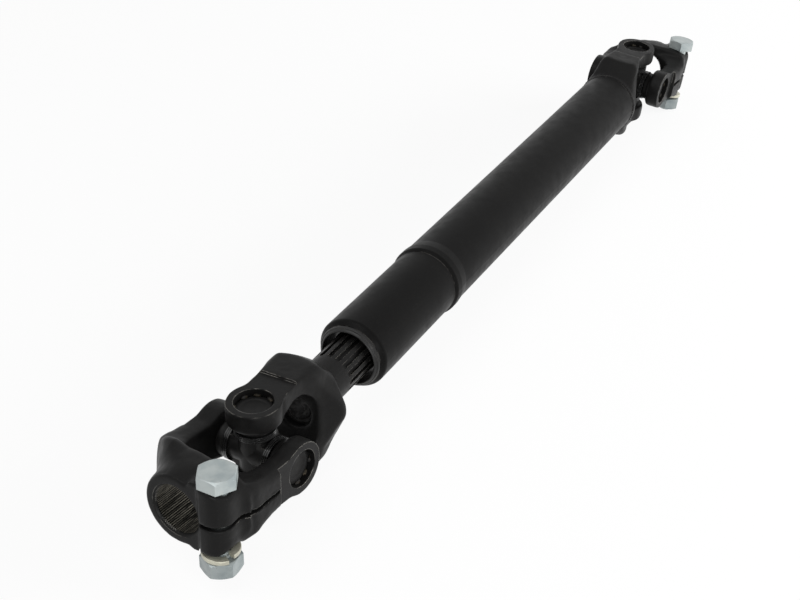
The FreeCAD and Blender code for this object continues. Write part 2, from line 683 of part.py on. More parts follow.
def clamp_block(label, upper, lower):
    """Block of a clamp yoke around its bore, with the bolt's boss; it ends at two heights."""
    body = new_body(f"{label}_block")
    plan = new_sketch(body, "XY_Plane", "block", f"(({upper}) + ({lower})) / 2")
    outline(plan, [
        ("crest_right", f"-{CLAMP_RAW}"),
        ("valley_x", "-valley_y", "valley_round"),
        ("boss_x + boss_radius", "-(boss_y + boss_radius)", "full_round * boss_radius"),
        ("boss_x + boss_radius", "-(boss_y - boss_flat)", "collar_round"),
        ("mouth_x", "-(boss_y - boss_flat - boss_step)", "collar_round"),
        ("mouth_x", LEFT_RAW),
        ("crest_left", LEFT_RAW),
        ("crest_left", "crest_left_y", "crest_sweep"),
        ("crest_middle", "-crest_bolt_y", "crest_sweep"),
    ])
    pad(body, plan, f"({upper}) - ({lower})")
    round_edges(body, "crest_round", lambda edge: level_edge(edge, upper, lower) and crest_edge(edge))
    corners = new_sketch(body, "YZ_Plane", "corners")
    outline(corners, [
        (f"-({CLAMP_RAW} + overcut)", f"({lower}) - overcut"),
        (f"{LEFT_RAW} + overcut", f"({lower}) - overcut"),
        (f"{LEFT_RAW} + overcut", f"({upper}) + overcut"),
        (f"-({CLAMP_RAW} + overcut)", f"({upper}) + overcut"),
    ])
    outline(corners, [
        (f"-{CLAMP_RAW}", lower, "clamp_corner"),
        (LEFT_RAW, lower, "left_corner"),
        (LEFT_RAW, upper, "left_corner"),
        (f"-{CLAMP_RAW}", upper, "clamp_corner"),
    ])
    pocket(body, corners)
    return body


def crest_edge(edge):
    """True for an edge of the block beside the throat."""
    return edge.BoundBox.XMax < num("crest_right") + 0.001


def clamp_forging(label, upper, lower):
    """Forged clamp yoke: ears at both sides, mouth at +X, bolt at -Y."""
    forged = doc.addObject("Part::Fuse", f"{label}_forged")
    forged.Base = clamp_arms(label)
    forged.Tool = clamp_block(label, upper, lower)
    doc.recompute()
    body = doc.addObject("PartDesign::Body", f"{label}_machined")
    body.BaseFeature = forged
    flank = new_sketch(body, "XY_Plane", "flank")
    outline(flank, [
        ("mouth_x + overcut", "collar_radius - 2 * collar_round"),
        ("mouth_x - collar_round / 2", "collar_radius", "collar_round"),
        ("flank_x", "flank_y", "clamp_corner"),
        ("flank_x - 2 * cut_reach / flank_slope", "flank_y + 2 * cut_reach"),
        ("mouth_x + overcut", "flank_y + 2 * cut_reach"),
    ])
    revolve(body, flank, "X_Axis", cut=True, angle=225)
    return body


def machine_clamp(body, seat):
    """Machine the ears, bores, bolt hole, nut's seat, saw cut and mouth of a clamp yoke."""
    for side, machined, raw in (("", LEFT_FACE, LEFT_RAW), ("-", CLAMP_FACE, CLAMP_RAW)):
        face = new_sketch(body, "XY_Plane", "face_right" if side else "face_left")
        outline(face, [
            ("-(clamp_ear_radius + overcut)", f"{side}{machined}"),
            ("clamp_shoulder", f"{side}{machined}"),
            ("clamp_shoulder + shoulder_run", f"{side}({raw} + overcut)"),
            ("-(clamp_ear_radius + overcut)", f"{side}({raw} + overcut)"),
        ])
        pocket(body, face)
    bores = new_sketch(body, "XZ_Plane", "bores")
    circle(bores, "0", "0", "cup_radius + press_gap")
    pocket(body, bores)
    hole = new_sketch(body, "XY_Plane", "bolt_hole")
    circle(hole, "boss_x", "-boss_y", "thread_radius + bolt_hole_gap")
    pocket(body, hole)
    spot = new_sketch(body, "XY_Plane", "nut_seat", seat)
    circle(spot, "boss_x", "-boss_y", "washer_radius + seat_gap")
    pocket(body, spot, "nut_side", symmetric=False, reverse=num(seat) > 0)
    slot = new_sketch(body, "XY_Plane", "slot")
    outline(slot, [
        ("clamp_shoulder", f"-({CLAMP_RAW} + overcut)"),
        ("clamp_shoulder", "-crest_radius / 2"),
        ("boss_x + boss_radius + overcut", "-crest_radius / 2"),
        ("boss_x + boss_radius + overcut", f"-({CLAMP_RAW} + overcut)"),
    ])
    pocket(body, slot, "slot_width")
    mouth = new_sketch(body, "XY_Plane", "mouth")
    outline(mouth, [
        ("mouth_x + overcut", "0"),
        ("mouth_x + overcut", "root_radius + bore_chamfer"),
        ("mouth_x", "root_radius + bore_chamfer"),
        ("mouth_x - 2 * bore_chamfer", "crest_radius - overcut / 10"),
        ("mouth_x - 2 * bore_chamfer", "0"),
    ])
    revolve(body, mouth, "X_Axis", cut=True)


def serration_cutter(label):
    """Prism that cuts the bore and its tooth gaps, with round lands on the tooth tips."""
    count = int(num("serration_count"))
    crest = num("crest_radius")
    root = num("root_radius")
    pitch = 2 * math.pi / count
    edges = []

    def spot(radius, angle):
        return Vector(0, radius * math.cos(angle), radius * math.sin(angle))

    for tooth in range(count):
        middle = tooth * pitch
        land_start = spot(crest, middle - 0.2 * pitch)
        land_end = spot(crest, middle + 0.2 * pitch)
        gap_start = spot(root, middle + 0.42 * pitch)
        gap_end = spot(root, middle + 0.58 * pitch)
        edges.append(Part.Arc(land_start, spot(crest, middle), land_end).toShape())
        edges.append(Part.makeLine(land_end, gap_start))
        edges.append(Part.makeLine(gap_start, gap_end))
        edges.append(Part.makeLine(gap_end, spot(crest, middle + 0.8 * pitch)))
    face = Part.Face(Part.Wire(Part.__sortEdges__(edges)))
    start = num("clamp_throat - bend_round")
    face.translate(Vector(start, 0, 0))
    cutter = doc.addObject("Part::Feature", f"{label}_serration")
    cutter.Shape = face.extrude(Vector(num("mouth_x + overcut") - start, 0, 0))
    return cutter


def clamp_yoke(label, nut_below):
    """Finished clamp yoke, with its nut's seat below or above."""
    upper, lower = ("head_side", "-nut_side") if nut_below else ("nut_side", "-head_side")
    body = clamp_forging(label, upper, lower)
    machine_clamp(body, "-nut_seat" if nut_below else "nut_seat")
    yoke = doc.addObject("Part::Cut", label)
    yoke.Base = body
    yoke.Tool = serration_cutter(label)
    return yoke


def hexagon(sketch):
    corner = "across_flats / sqrt(3)"
    mirrored_outline(sketch, [
        (corner, "0"),
        (f"{corner} / 2", "across_flats / 2"),
        (f"-{corner} / 2", "across_flats / 2"),
        (f"-{corner}", "0"),
    ])


def break_corners(body, label, top, downwards=True):
    """Turn the thirty degree chamfer that rounds the corners of a hexagon."""
    sign = "-" if downwards else "+"
    rim = "chamfer_land / 2"
    outer = "across_flats"
    ring = new_sketch(body, "XZ_Plane", label)
    outline(ring, [
        (rim, top),
        (outer, top),
        (outer, f"{top} {sign} (({outer}) - ({rim})) / sqrt(3)"),
    ])
    revolve(body, ring, "Z_Axis", cut=True)


def clamp_bolt(label):
    """Hexagon bolt whose head stands on z = 0."""
    body = new_body(label)
    head = new_sketch(body, "XY_Plane", "head")
    hexagon(head)
    pad(body, head, "head_height", symmetric=False)
    break_corners(body, "head_chamfer", "head_height")
    end = "head_side + nut_seat + washer_height + nut_height + bolt_tip"
    shank = new_sketch(body, "XZ_Plane", "shank")
    outline(shank, [
        ("0", "overcut"),
        ("thread_radius", "overcut"),
        ("thread_radius", f"-({end} - thread_chamfer)"),
        ("thread_radius - thread_chamfer", f"-({end})"),
        ("0", f"-({end})"),
    ])
    revolve(body, shank, "Z_Axis")
    return body


def clamp_nut(label):
    """Hexagon nut that hangs from z = 0."""
    body = new_body(label)
    block = new_sketch(body, "XY_Plane", "block", "-nut_height")
    hexagon(block)
    pad(body, block, "nut_height", symmetric=False)
    break_corners(body, "upper_chamfer", "0")
    break_corners(body, "lower_chamfer", "-nut_height", downwards=False)
    bore = new_sketch(body, "XY_Plane", "bore")
    circle(bore, "0", "0", "thread_radius + press_gap")
    pocket(body, bore)
    return body


def spring_washer(label):
    """Split ring with its ends apart that hangs from z = 0."""
    body = new_body(label)
    ring = new_sketch(body, "XZ_Plane", "ring")
    outline(ring, [
        ("thread_radius + washer_bore_gap", "-washer_height"),
        ("washer_radius", "-washer_height"),
        ("washer_radius", "washer_thickness - washer_height"),
        ("thread_radius + washer_bore_gap", "washer_thickness - washer_height"),
    ])
    helix = body.newObject("PartDesign::AdditiveHelix", f"{label}_coil")
    helix.Profile = ring
    helix.ReferenceAxis = (origin_feature(body, "Z_Axis"), [""])
    helix.Mode = 0
    bind(helix, "Height", "washer_height - washer_thickness")
    bind(helix, "Pitch", "(washer_height - washer_thickness) * 360 / washer_sweep")
    body.Tip = helix
    return body


TRUNNION = "(cup_radius - cup_wall - 2 * needle_radius - 2 * run_gap)"
TRUNNION_END = "(cup_reach - cup_floor - pad_thickness - run_gap)"
CUP_RIM = "(cup_reach - cup_length)"


def cross(label):
    """Spider in its own frame, arms along Y and Z."""
    body = new_body(label)
    web = new_sketch(body, "YZ_Plane", "web")
    mirrored_outline(web, [
        ("arm_boss_reach", "web_half"),
        ("web_half", "web_half", "web_corner"),
        ("web_half", "arm_boss_reach"),
        ("-web_half", "arm_boss_reach"),
        ("-web_half", "web_half", "web_corner"),
        ("-arm_boss_reach", "web_half"),
    ])
    pad(body, web, "web_thickness")
    for plane in ("XY_Plane", "XZ_Plane"):
        boss = new_sketch(body, plane, f"boss_{plane[:2]}")
        circle(boss, "0", "0", "arm_boss_radius")
        pad(body, boss, "2 * arm_boss_reach")
        arm = new_sketch(body, plane, f"arm_{plane[:2]}")
        circle(arm, "0", "0", TRUNNION)
        pad(body, arm, f"2 * {TRUNNION_END}")
    return body


def bearing_cup(label):
    return turned(label, [
        ("0", "cup_reach"),
        ("cup_radius", "cup_reach", "cup_round"),
        ("cup_radius", CUP_RIM),
        ("cup_radius - cup_wall", CUP_RIM),
        ("cup_radius - cup_wall", "cup_reach - cup_floor"),
        ("0", "cup_reach - cup_floor"),
    ], "Z_Axis", "XZ_Plane")


def thrust_pad(label):
    return turned(label, [
        ("0", "cup_reach - cup_floor"),
        (TRUNNION, "cup_reach - cup_floor"),
        (TRUNNION, "cup_reach - cup_floor - pad_thickness"),
        ("0", "cup_reach - cup_floor - pad_thickness"),
    ], "Z_Axis", "XZ_Plane")


def seal(label):
    """Rubber ring with three ribs between the cross and the rim of a cup."""
    height = f"({CUP_RIM} - seal_gap - arm_boss_reach)"
    corners = [(f"{TRUNNION} + press_gap", "arm_boss_reach")]
    for rib in range(3):
        corners.append(("seal_radius", f"arm_boss_reach + {height} * {rib} / 3"))
        corners.append(("seal_radius", f"arm_boss_reach + {height} * ({rib} + rib_share) / 3"))
        if rib < 2:
            groove = f"arm_boss_reach + {height} * ({rib} + (1 + rib_share) / 2) / 3"
            corners.append(("seal_radius - seal_rib", groove))
    corners.append((f"{TRUNNION} + press_gap", f"arm_boss_reach + {height} * (2 + rib_share) / 3"))
    return turned(label, corners, "Z_Axis", "XZ_Plane")


def needle_set(label):
    """Rollers of one cup, a group of separate solids around Z."""
    group = doc.addObject("Part::Compound", label)
    count = int(num("needle_count"))
    ring = num("cup_radius - cup_wall - needle_radius - run_gap")
    rollers = []
    for i in range(count):
        roller = doc.addObject("Part::Cylinder", f"{label}_{i + 1}")
        bind(roller, "Radius", "needle_radius")
        bind(roller, "Height", "needle_length")
        turn = 2 * math.pi * i / count
        foot = Vector(ring * math.cos(turn), ring * math.sin(turn), num(f"{CUP_RIM} + needle_inset"))
        roller.Placement = Placement(foot, Rotation())
        rollers.append(roller)
    group.Links = rollers
    return group


# -------------------------------------------------------------------------- assembly

def turn(axis, degrees):
    return Rotation(Vector(*axis), degrees)


X, Y, Z = (1, 0, 0), (0, 1, 0), (0, 0, 1)
near_cross_turn = turn(Z, num("near_swing"))
near_clamp_turn = near_cross_turn * turn(Y, num("near_tilt"))
far_yoke_turn = turn(X, num("far_phase"))
far_cross_turn = far_yoke_turn * turn(Z, num("far_swing"))
far_clamp_turn = far_cross_turn * turn(Y, num("far_tilt"))

near_centre = near_clamp_turn * Vector(num("mouth_x - 2 * bore_chamfer"), 0, 0)
far_centre = near_centre + Vector(num("joint_span"), 0, 0)

# the four arms of a cross: name, rotation from +Z, and whether the clamp yoke holds it
ARMS = [
    ("top", turn(X, 0), False),
    ("bottom", turn(X, 180), False),
    ("left", turn(X, -90), True),
    ("right", turn(X, 90), True),
]
ENDS = [
    ("near", near_centre, turn(X, 0), near_cross_turn, near_clamp_turn, turn(Y, 180), -1, False),
    ("far", far_centre, far_yoke_turn, far_cross_turn, far_clamp_turn, turn(X, 0), 1, True),
]

for end, centre, yoke_turn, cross_turn, clamp_turn, mouth_turn, ahead, nut_below in ENDS:
    yoke = clamp_yoke(f"{end}_clamp_yoke", nut_below)
    place(f"{end}_clamp_yoke", yoke, Placement(centre, clamp_turn * mouth_turn))
    seat = centre + clamp_turn * Vector(ahead * num("boss_x"), -num("boss_y"), num("head_side"))
    below = centre + clamp_turn * Vector(ahead * num("boss_x"), -num("boss_y"), -num("nut_seat"))
    under_washer = below + clamp_turn * Vector(0, 0, -num("washer_height"))
    head_turn = clamp_turn * turn(Z, num(f"{end}_head_turn"))
    nut_turn = clamp_turn * turn(Z, num(f"{end}_nut_turn"))
    place(f"{end}_clamp_bolt", clamp_bolt(f"{end}_clamp_bolt"), Placement(seat, head_turn))
    place(f"{end}_spring_washer", spring_washer(f"{end}_spring_washer"), Placement(below, nut_turn))
    place(f"{end}_clamp_nut", clamp_nut(f"{end}_clamp_nut"), Placement(under_washer, nut_turn))
    place(f"{end}_cross", cross(f"{end}_cross"), Placement(centre, cross_turn))
    for arm, arm_turn, in_clamp in ARMS:
        holder = (clamp_turn if in_clamp else yoke_turn) * arm_turn
        place(f"{end}_cup_{arm}", bearing_cup(f"{end}_cup_{arm}"), Placement(centre, holder))
        place(f"{end}_needles_{arm}", needle_set(f"{end}_needles_{arm}"), Placement(centre, holder))
        place(f"{end}_thrust_pad_{arm}", thrust_pad(f"{end}_thrust_pad_{arm}"), Placement(centre, holder))
        place(f"{end}_seal_{arm}", seal(f"{end}_seal_{arm}"), Placement(centre, cross_turn * arm_turn))

place("tube_yoke", tube_yoke(), Placement(far_centre, far_yoke_turn * turn(Z, 180)))
for make in (shaft_yoke, splined_shaft, spline_sleeve, retainer_ring, wiper_seal, sealing_plug, tube):
    part = make()
    place(part.Label, part, Placement(near_centre, Rotation()))

doc.recompute()

# ---------------------------------------------------------------------------- output

CUTS = ("PartDesign::Pocket", "PartDesign::Groove")
ADDITIONS = ("PartDesign::Pad", "PartDesign::Revolution", "PartDesign::AdditiveHelix")
for thing in doc.Objects:
    if "Invalid" in thing.State or "Error" in thing.State:
        raise RuntimeError(f"{thing.Label} failed: {thing.State}")
    if thing.TypeId not in CUTS + ADDITIONS:
        continue
    before = thing.BaseFeature.Shape.Volume if thing.BaseFeature else 0.0
    gain = thing.Shape.Volume - before
    if thing.TypeId in CUTS and gain > -0.001:
        raise RuntimeError(f"{thing.Label} cuts nothing")
    if thing.TypeId in ADDITIONS and gain < 0.001:
        raise RuntimeError(f"{thing.Label} adds nothing")
for label, part in nodes.items():
    shape = part.Shape
    if shape.isNull() or not shape.isValid():
        raise RuntimeError(f"{label} has no valid shape")
    expected = int(num("needle_count")) if "needles" in label else 1
    if len(shape.Solids) != expected:
        raise RuntimeError(f"{label} has {len(shape.Solids)} solids instead of {expected}")
    shape.exportStep(f"parts/{label}.step")
print(len(nodes), "nodes written")
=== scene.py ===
import json
import math

import bmesh
import bpy
import numpy as np
from mathutils import Matrix, Vector, noise


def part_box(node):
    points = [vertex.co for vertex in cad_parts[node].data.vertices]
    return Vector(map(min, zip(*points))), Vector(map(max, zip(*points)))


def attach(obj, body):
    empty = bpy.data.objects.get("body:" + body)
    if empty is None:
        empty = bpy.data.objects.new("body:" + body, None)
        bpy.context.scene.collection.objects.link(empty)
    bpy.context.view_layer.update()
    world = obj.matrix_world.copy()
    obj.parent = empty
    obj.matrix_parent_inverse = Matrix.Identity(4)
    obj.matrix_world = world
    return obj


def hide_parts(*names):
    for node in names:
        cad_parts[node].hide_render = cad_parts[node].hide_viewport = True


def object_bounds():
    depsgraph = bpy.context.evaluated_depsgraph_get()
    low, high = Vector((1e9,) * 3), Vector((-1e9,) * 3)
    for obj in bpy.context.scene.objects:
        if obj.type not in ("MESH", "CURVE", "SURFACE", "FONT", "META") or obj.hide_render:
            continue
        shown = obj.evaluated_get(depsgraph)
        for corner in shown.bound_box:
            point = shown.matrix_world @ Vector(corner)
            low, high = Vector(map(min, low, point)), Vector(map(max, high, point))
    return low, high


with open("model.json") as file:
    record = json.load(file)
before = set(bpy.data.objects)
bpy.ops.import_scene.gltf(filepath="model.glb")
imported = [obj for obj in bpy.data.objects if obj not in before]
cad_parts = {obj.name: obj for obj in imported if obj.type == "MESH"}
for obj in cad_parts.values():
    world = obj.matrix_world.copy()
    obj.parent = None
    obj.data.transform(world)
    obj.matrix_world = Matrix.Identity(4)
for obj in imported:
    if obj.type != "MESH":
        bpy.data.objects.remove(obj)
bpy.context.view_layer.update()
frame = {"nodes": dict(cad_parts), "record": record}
nodes = frame["nodes"]
mounts = {m["name"]: m for m in frame["record"]["mounts"]}
joints = {j["name"]: j for j in frame["record"]["behaviour"]["joints"]}
MM = 0.001

# ---------------------------------------------------------------- node helpers
# Scales of noise are per metre and colours are linear.

MIX_A, MIX_B, MIX_RESULT = 6, 7, 2  # the colour sockets of a Mix node
BEVEL_SAMPLES = 6
NOISE_RANGE = (0.3, 0.7)  # where most of a noise texture's values lie


class Shader:
    """A material and short ways to add its nodes."""

    def __init__(self, name):
        self.material = bpy.data.materials.new(name)
        self.material.use_nodes = True
        self.tree = self.material.node_tree
        self.tree.nodes.clear()
        self.output = self.tree.nodes.new("ShaderNodeOutputMaterial")
        self.surface = self.tree.nodes.new("ShaderNodeBsdfPrincipled")
        self.link(self.surface.outputs["BSDF"], self.output.inputs["Surface"])
        self.place = self.add("ShaderNodeTexCoord").outputs["Object"]

    def add(self, kind, **values):
        node = self.tree.nodes.new(kind)
        for key, value in values.items():
            setattr(node, key, value)
        return node

    def link(self, source, target):
        self.tree.links.new(source, target)

    def feed(self, socket, value):
        """Link a socket to another, or set its constant."""
        if isinstance(value, bpy.types.NodeSocket):
            self.link(value, socket)
        else:
            socket.default_value = value

    def math(self, operation, a, b=0.0, c=None, clamp=False):
        node = self.add("ShaderNodeMath", operation=operation, use_clamp=clamp)
        self.feed(node.inputs[0], a)
        self.feed(node.inputs[1], b)
        if c is not None:
            self.feed(node.inputs[2], c)
        return node.outputs[0]

    def vector(self, operation, a, b=(0.0, 0.0, 0.0)):
        node = self.add("ShaderNodeVectorMath", operation=operation)
        self.feed(node.inputs[0], a)
        self.feed(node.inputs[1], b)
        return node.outputs

    def scaled(self, vector, factor):
        node = self.add("ShaderNodeVectorMath", operation="SCALE")
        self.feed(node.inputs[0], vector)
        self.feed(node.inputs["Scale"], factor)
        return node.outputs["Vector"]

    def stretched(self, scale):
        node = self.add("ShaderNodeMapping")
        self.link(self.place, node.inputs["Vector"])
        node.inputs["Scale"].default_value = scale
        return node.outputs["Vector"]

    def noise(self, scale, detail, rough=0.55, place=None):
        node = self.add("ShaderNodeTexNoise")
        self.link(place or self.place, node.inputs["Vector"])
        node.inputs["Scale"].default_value = scale
        node.inputs["Detail"].default_value = detail
        node.inputs["Roughness"].default_value = rough
        return node.outputs["Fac"]

    def step(self, value, low, high):
        """Smooth step from 0 at low to 1 at high."""
        node = self.add("ShaderNodeMapRange", interpolation_type="SMOOTHSTEP")
        self.feed(node.inputs["Value"], value)
        node.inputs["From Min"].default_value = low
        node.inputs["From Max"].default_value = high
        return node.outputs["Result"]

    def patches(self, scale, detail, low, high, rough=0.55, place=None):
        """Mask from a noise that is 0 below low and 1 above high."""
        return self.step(self.noise(scale, detail, rough, place), low, high)

    def sheen(self, scale, detail, smooth, rough):
        """Roughness that wanders between two values."""
        node = self.add("ShaderNodeMapRange")
        self.link(self.noise(scale, detail), node.inputs["Value"])
        node.inputs["From Min"].default_value = NOISE_RANGE[0]
        node.inputs["From Max"].default_value = NOISE_RANGE[1]
        node.inputs["To Min"].default_value = smooth
        node.inputs["To Max"].default_value = rough
        return node.outputs["Result"]

    def mix(self, share, a, b):
        node = self.add("ShaderNodeMix", data_type="RGBA")
        self.feed(node.inputs["Factor"], share)
        self.feed(node.inputs[MIX_A], a)
        self.feed(node.inputs[MIX_B], b)
        return node.outputs[MIX_RESULT]

    def covered(self, colour, mask, share, top):
        """The colour with another one over it, where the mask is, in that share."""
        return self.mix(self.math("MULTIPLY", mask, share), colour, top)

    def rounded(self, radius):
        node = self.add("ShaderNodeBevel", samples=BEVEL_SAMPLES)
        node.inputs["Radius"].default_value = radius
        return node.outputs["Normal"]

    def edge(self, normal):
        """How far the rounded normal leans away from the face's own: 0 on flat ground."""
        flat = self.add("ShaderNodeNewGeometry").outputs["Normal"]
        lean = self.vector("DOT_PRODUCT", normal, flat)["Value"]
        return self.math("SUBTRACT", 1.0, lean, clamp=True)

    def bump(self, height, strength, distance, normal=None):
        node = self.add("ShaderNodeBump")
        self.feed(node.inputs["Height"], height)
        node.inputs["Strength"].default_value = strength
        node.inputs["Distance"].default_value = distance
        if normal is not None:
            self.link(normal, node.inputs["Normal"])
        return node.outputs["Normal"]

    def finish(self, colour, roughness, normal, metallic=0.0, specular=0.5):
        self.feed(self.surface.inputs["Base Color"], colour)
        self.feed(self.surface.inputs["Roughness"], roughness)
        self.feed(self.surface.inputs["Metallic"], metallic)
        self.surface.inputs["Specular IOR Level"].default_value = specular
        self.link(normal, self.surface.inputs["Normal"])
        return self.material


def grey(level, warmth=0.0):
    return (level * (1 + warmth), level, level * (1 - warmth), 1.0)


# ---------------------------------------------------------------- materials

PAINT_DARK, PAINT_LIGHT = 0.0068, 0.0118  # greys of the black, before the tone
RUBBED_PAINT = (0.24, 0.23, 0.21, 1.0)
RUBBED_STEEL = (0.32, 0.3, 0.27, 1.0)
# The bore's teeth: the gaps are painted near black as shade, and the tips are bare steel lightened with
# painted glints.
TOOTH_GAP_SHADE = (0.003, 0.003, 0.0025, 1.0)
TOOTH_TIP_STEEL_AND_GLINT = (0.24, 0.225, 0.19, 1.0)
RUB_WIDTH = 0.6 * MM  # how far from an edge the paint is rubbed
BARE_RADIUS = 12.95 * MM  # the bore is bare inside this radius
BARE_DEPTH = 0.1 * MM  # and from this depth on
TIP_RADII = (12.4 * MM, 12.6 * MM)  # the teeth's brightness falls off between these
TOOTH_STRETCH = 0.1  # scale along the teeth, which draws the streaks out


def painted(name, grain, grain_height, edge_radius, tone, gloss, rub, bore=None):
    """Black paint over steel: uneven sheen, a grain of the surface under it, rubbed edges.
    tone scales the black, gloss the mirror and rub the wear of the edges.
    bore = (point, axis) leaves the teeth of a serrated bore bare steel, with painted glints on their tips
    and painted shade in the gaps between them."""
    s = Shader(name)
    rim = s.step(s.edge(s.rounded(RUB_WIDTH)), 0.015, 0.09)
    stretches = s.patches(95, 3, 0.44, 0.56, 0.6)
    chips = s.patches(800, 3, 0.25, 0.5, 0.7)
    worn = s.math("MULTIPLY", rim, s.math("MULTIPLY", stretches, chips))
    clouds = s.noise(38, 4)
    dust = s.patches(1900, 2, 0.64, 0.74, 0.6)
    colour = s.mix(clouds, grey(PAINT_DARK * tone), grey(PAINT_LIGHT * tone, 0.03))
    colour = s.covered(colour, dust, 0.3, grey(0.045, 0.05))
    colour = s.covered(colour, worn, rub, RUBBED_PAINT)
    metallic = s.math("MULTIPLY", worn, 0.6)
    if bore:
        bare, tips, along_teeth = tooth_masks(s, *bore)
        # Bare steel on the tips of the teeth with streaks of painted glint, and painted shade, darker than
        # the paint, in the gaps.
        streaks = s.patches(1000, 2, 0.40, 0.60, 0.6, along_teeth)
        tip_steel_and_glint = s.math("MULTIPLY", tips, s.math("MULTIPLY_ADD", streaks, 0.85, 0.15))
        colour = s.mix(bare, colour, s.mix(tip_steel_and_glint, TOOTH_GAP_SHADE, TOOTH_TIP_STEEL_AND_GLINT))
        shine = s.math("MULTIPLY", bare, s.math("MULTIPLY", tip_steel_and_glint, 0.9))
        metallic = s.math("MAXIMUM", metallic, shine)
    coat = s.bump(s.noise(grain, 3, 0.6), 0.5, grain_height, s.rounded(edge_radius))
    return s.finish(colour, s.sheen(150, 4, 0.32, 0.46), coat, metallic, gloss)


def tooth_masks(s, point, axis):
    """Masks of a serrated bore behind its chamfer and of the tips of its teeth,
    and coordinates that are drawn out along the teeth, for the streaks of painted glint."""
    offset = s.vector("SUBTRACT", s.place, point)["Vector"]
    along = s.vector("DOT_PRODUCT", offset, axis)["Value"]
    lengthwise_part = s.scaled(axis, along)
    across = s.vector("SUBTRACT", offset, lengthwise_part)["Vector"]
    reach = s.vector("LENGTH", across)["Value"]
    inside = s.math("LESS_THAN", reach, BARE_RADIUS)
    bare = s.math("MULTIPLY", inside, s.math("LESS_THAN", along, -BARE_DEPTH))
    tips = s.math("SUBTRACT", 1.0, s.step(reach, *TIP_RADII), clamp=True)
    drawn_out = s.scaled(lengthwise_part, TOOTH_STRETCH)
    return bare, tips, s.vector("ADD", across, drawn_out)["Vector"]


def turned_steel(name, dark, light, metallic, lines_scale, rub, stain=None):
    """Machined steel with fine lines and rubbed edges, and oil stains if wanted."""
    s = Shader(name)
    soft = s.rounded(0.25 * MM)
    lines = s.noise(1.0, 3, 0.6, s.stretched(lines_scale))
    colour = s.mix(lines, grey(dark), grey(light, 0.03))
    if stain:
        colour = s.mix(s.patches(420, 3, 0.4, 0.6), colour, stain)
    worn = s.math("MULTIPLY", s.step(s.edge(soft), 0.02, 0.25), s.patches(500, 3, 0.38, 0.6))
    colour = s.covered(colour, worn, rub, RUBBED_STEEL)
    coat = s.bump(lines, 0.35, 0.03 * MM, soft)
    shine = s.math("MAXIMUM", metallic, s.math("MULTIPLY", worn, 0.9))
    return s.finish(colour, s.sheen(240, 4, 0.3, 0.48), coat, shine, 0.1)


def plated(name, light, dark, tarnish):
    """Zinc plate with its faint bloom, dull patches and dark specks."""
    s = Shader(name)
    colour = s.mix(s.patches(110, 4, 0.35, 0.68), light, dark)
    colour = s.covered(colour, s.patches(300, 5, 0.58, 0.72, 0.7), 0.45, tarnish)
    colour = s.covered(colour, s.patches(900, 2, 0.72, 0.78), 0.6, grey(0.06, 0.1))
    coat = s.bump(s.noise(1300, 3), 0.3, 0.04 * MM, s.rounded(0.3 * MM))
    return s.finish(colour, s.sheen(190, 4, 0.3, 0.52), coat, 0.6, 0.5)


def rubber(name):
    s = Shader(name)
    colour = s.mix(s.noise(220, 3), grey(0.006), grey(0.013))
    colour = s.covered(colour, s.patches(1500, 2, 0.66, 0.76), 0.3, grey(0.06))
    coat = s.bump(s.noise(1000, 2), 0.25, 0.04 * MM, s.rounded(0.2 * MM))
    return s.finish(colour, s.sheen(320, 3, 0.12, 0.26), coat, 0.0, 0.6)


def plastic(name, light, dark):
    s = Shader(name)
    colour = s.mix(s.noise(300, 3), light, dark)
    coat = s.bump(s.noise(1800, 2), 0.2, 0.03 * MM)
    return s.finish(colour, s.sheen(500, 3, 0.4, 0.6), coat)


def clamp_bore(mount_name):
    """Where the serrated bore of a clamp mount is: a point where the teeth begin, and its axis."""
    mount = mounts[mount_name]
    return tuple(mount["pos_m"]), tuple(mount["axis"])


def evenly(scale):
    return (scale, scale, scale)


FORGED = {"grain": 620, "grain_height": 0.12 * MM, "edge_radius": 0.9 * MM,
          "tone": 0.68, "gloss": 0.09, "rub": 0.75}
forged = painted("forged_paint", **FORGED)
near_forged = painted("near_clamp_paint", **FORGED, bore=clamp_bore("near_clamp_bore"))
far_forged = painted("far_clamp_paint", **FORGED, bore=clamp_bore("far_clamp_bore"))
drawn = painted("tube_paint", grain=1500, grain_height=0.03 * MM, edge_radius=0.5 * MM,
                tone=0.33, gloss=0.06, rub=0.3)
rolled = painted("ring_paint", grain=1500, grain_height=0.03 * MM, edge_radius=0.6 * MM,
                 tone=0.6, gloss=0.3, rub=0.2)

shaft_steel = turned_steel("shaft_steel", 0.004, 0.010, 0.1, (30.0, 1400.0, 1400.0), 0.9)
cup_steel = turned_steel("cup_steel", 0.008, 0.015, 0.1, evenly(500.0), 0.5)
cross_steel = turned_steel("cross_steel", 0.010, 0.022, 0.25, evenly(700.0), 0.4)
staked = turned_steel("staked_steel", 0.01, 0.035, 0.4, evenly(700.0), 0.35,
                      stain=(0.028, 0.023, 0.016, 1.0))
roller_steel = turned_steel("roller_steel", 0.32, 0.5, 1.0, evenly(900.0), 0.2)
plug_steel = turned_steel("plug_steel", 0.10, 0.18, 0.8, evenly(700.0), 0.5)

zinc = plated("zinc_plate", light=(0.39, 0.425, 0.42, 1.0), dark=(0.29, 0.33, 0.335, 1.0),
              tarnish=(0.40, 0.40, 0.35, 1.0))
# The nut has the same zinc plate as the bolt; this copy is darker as painted shade, for the shade it lies
# in under the block.
shaded_nut_zinc = plated("shaded_nut_zinc", light=(0.28, 0.31, 0.31, 1.0), dark=(0.19, 0.22, 0.225, 1.0),
                  tarnish=(0.31, 0.31, 0.27, 1.0))
yellow_zinc = plated("yellow_zinc", light=(0.50, 0.49, 0.40, 1.0), dark=(0.34, 0.33, 0.27, 1.0),
                     tarnish=(0.46, 0.42, 0.30, 1.0))
seal_rubber = rubber("seal_rubber")
pad_plastic = plastic("pad_plastic", light=(0.55, 0.52, 0.44, 1.0), dark=(0.46, 0.43, 0.36, 1.0))

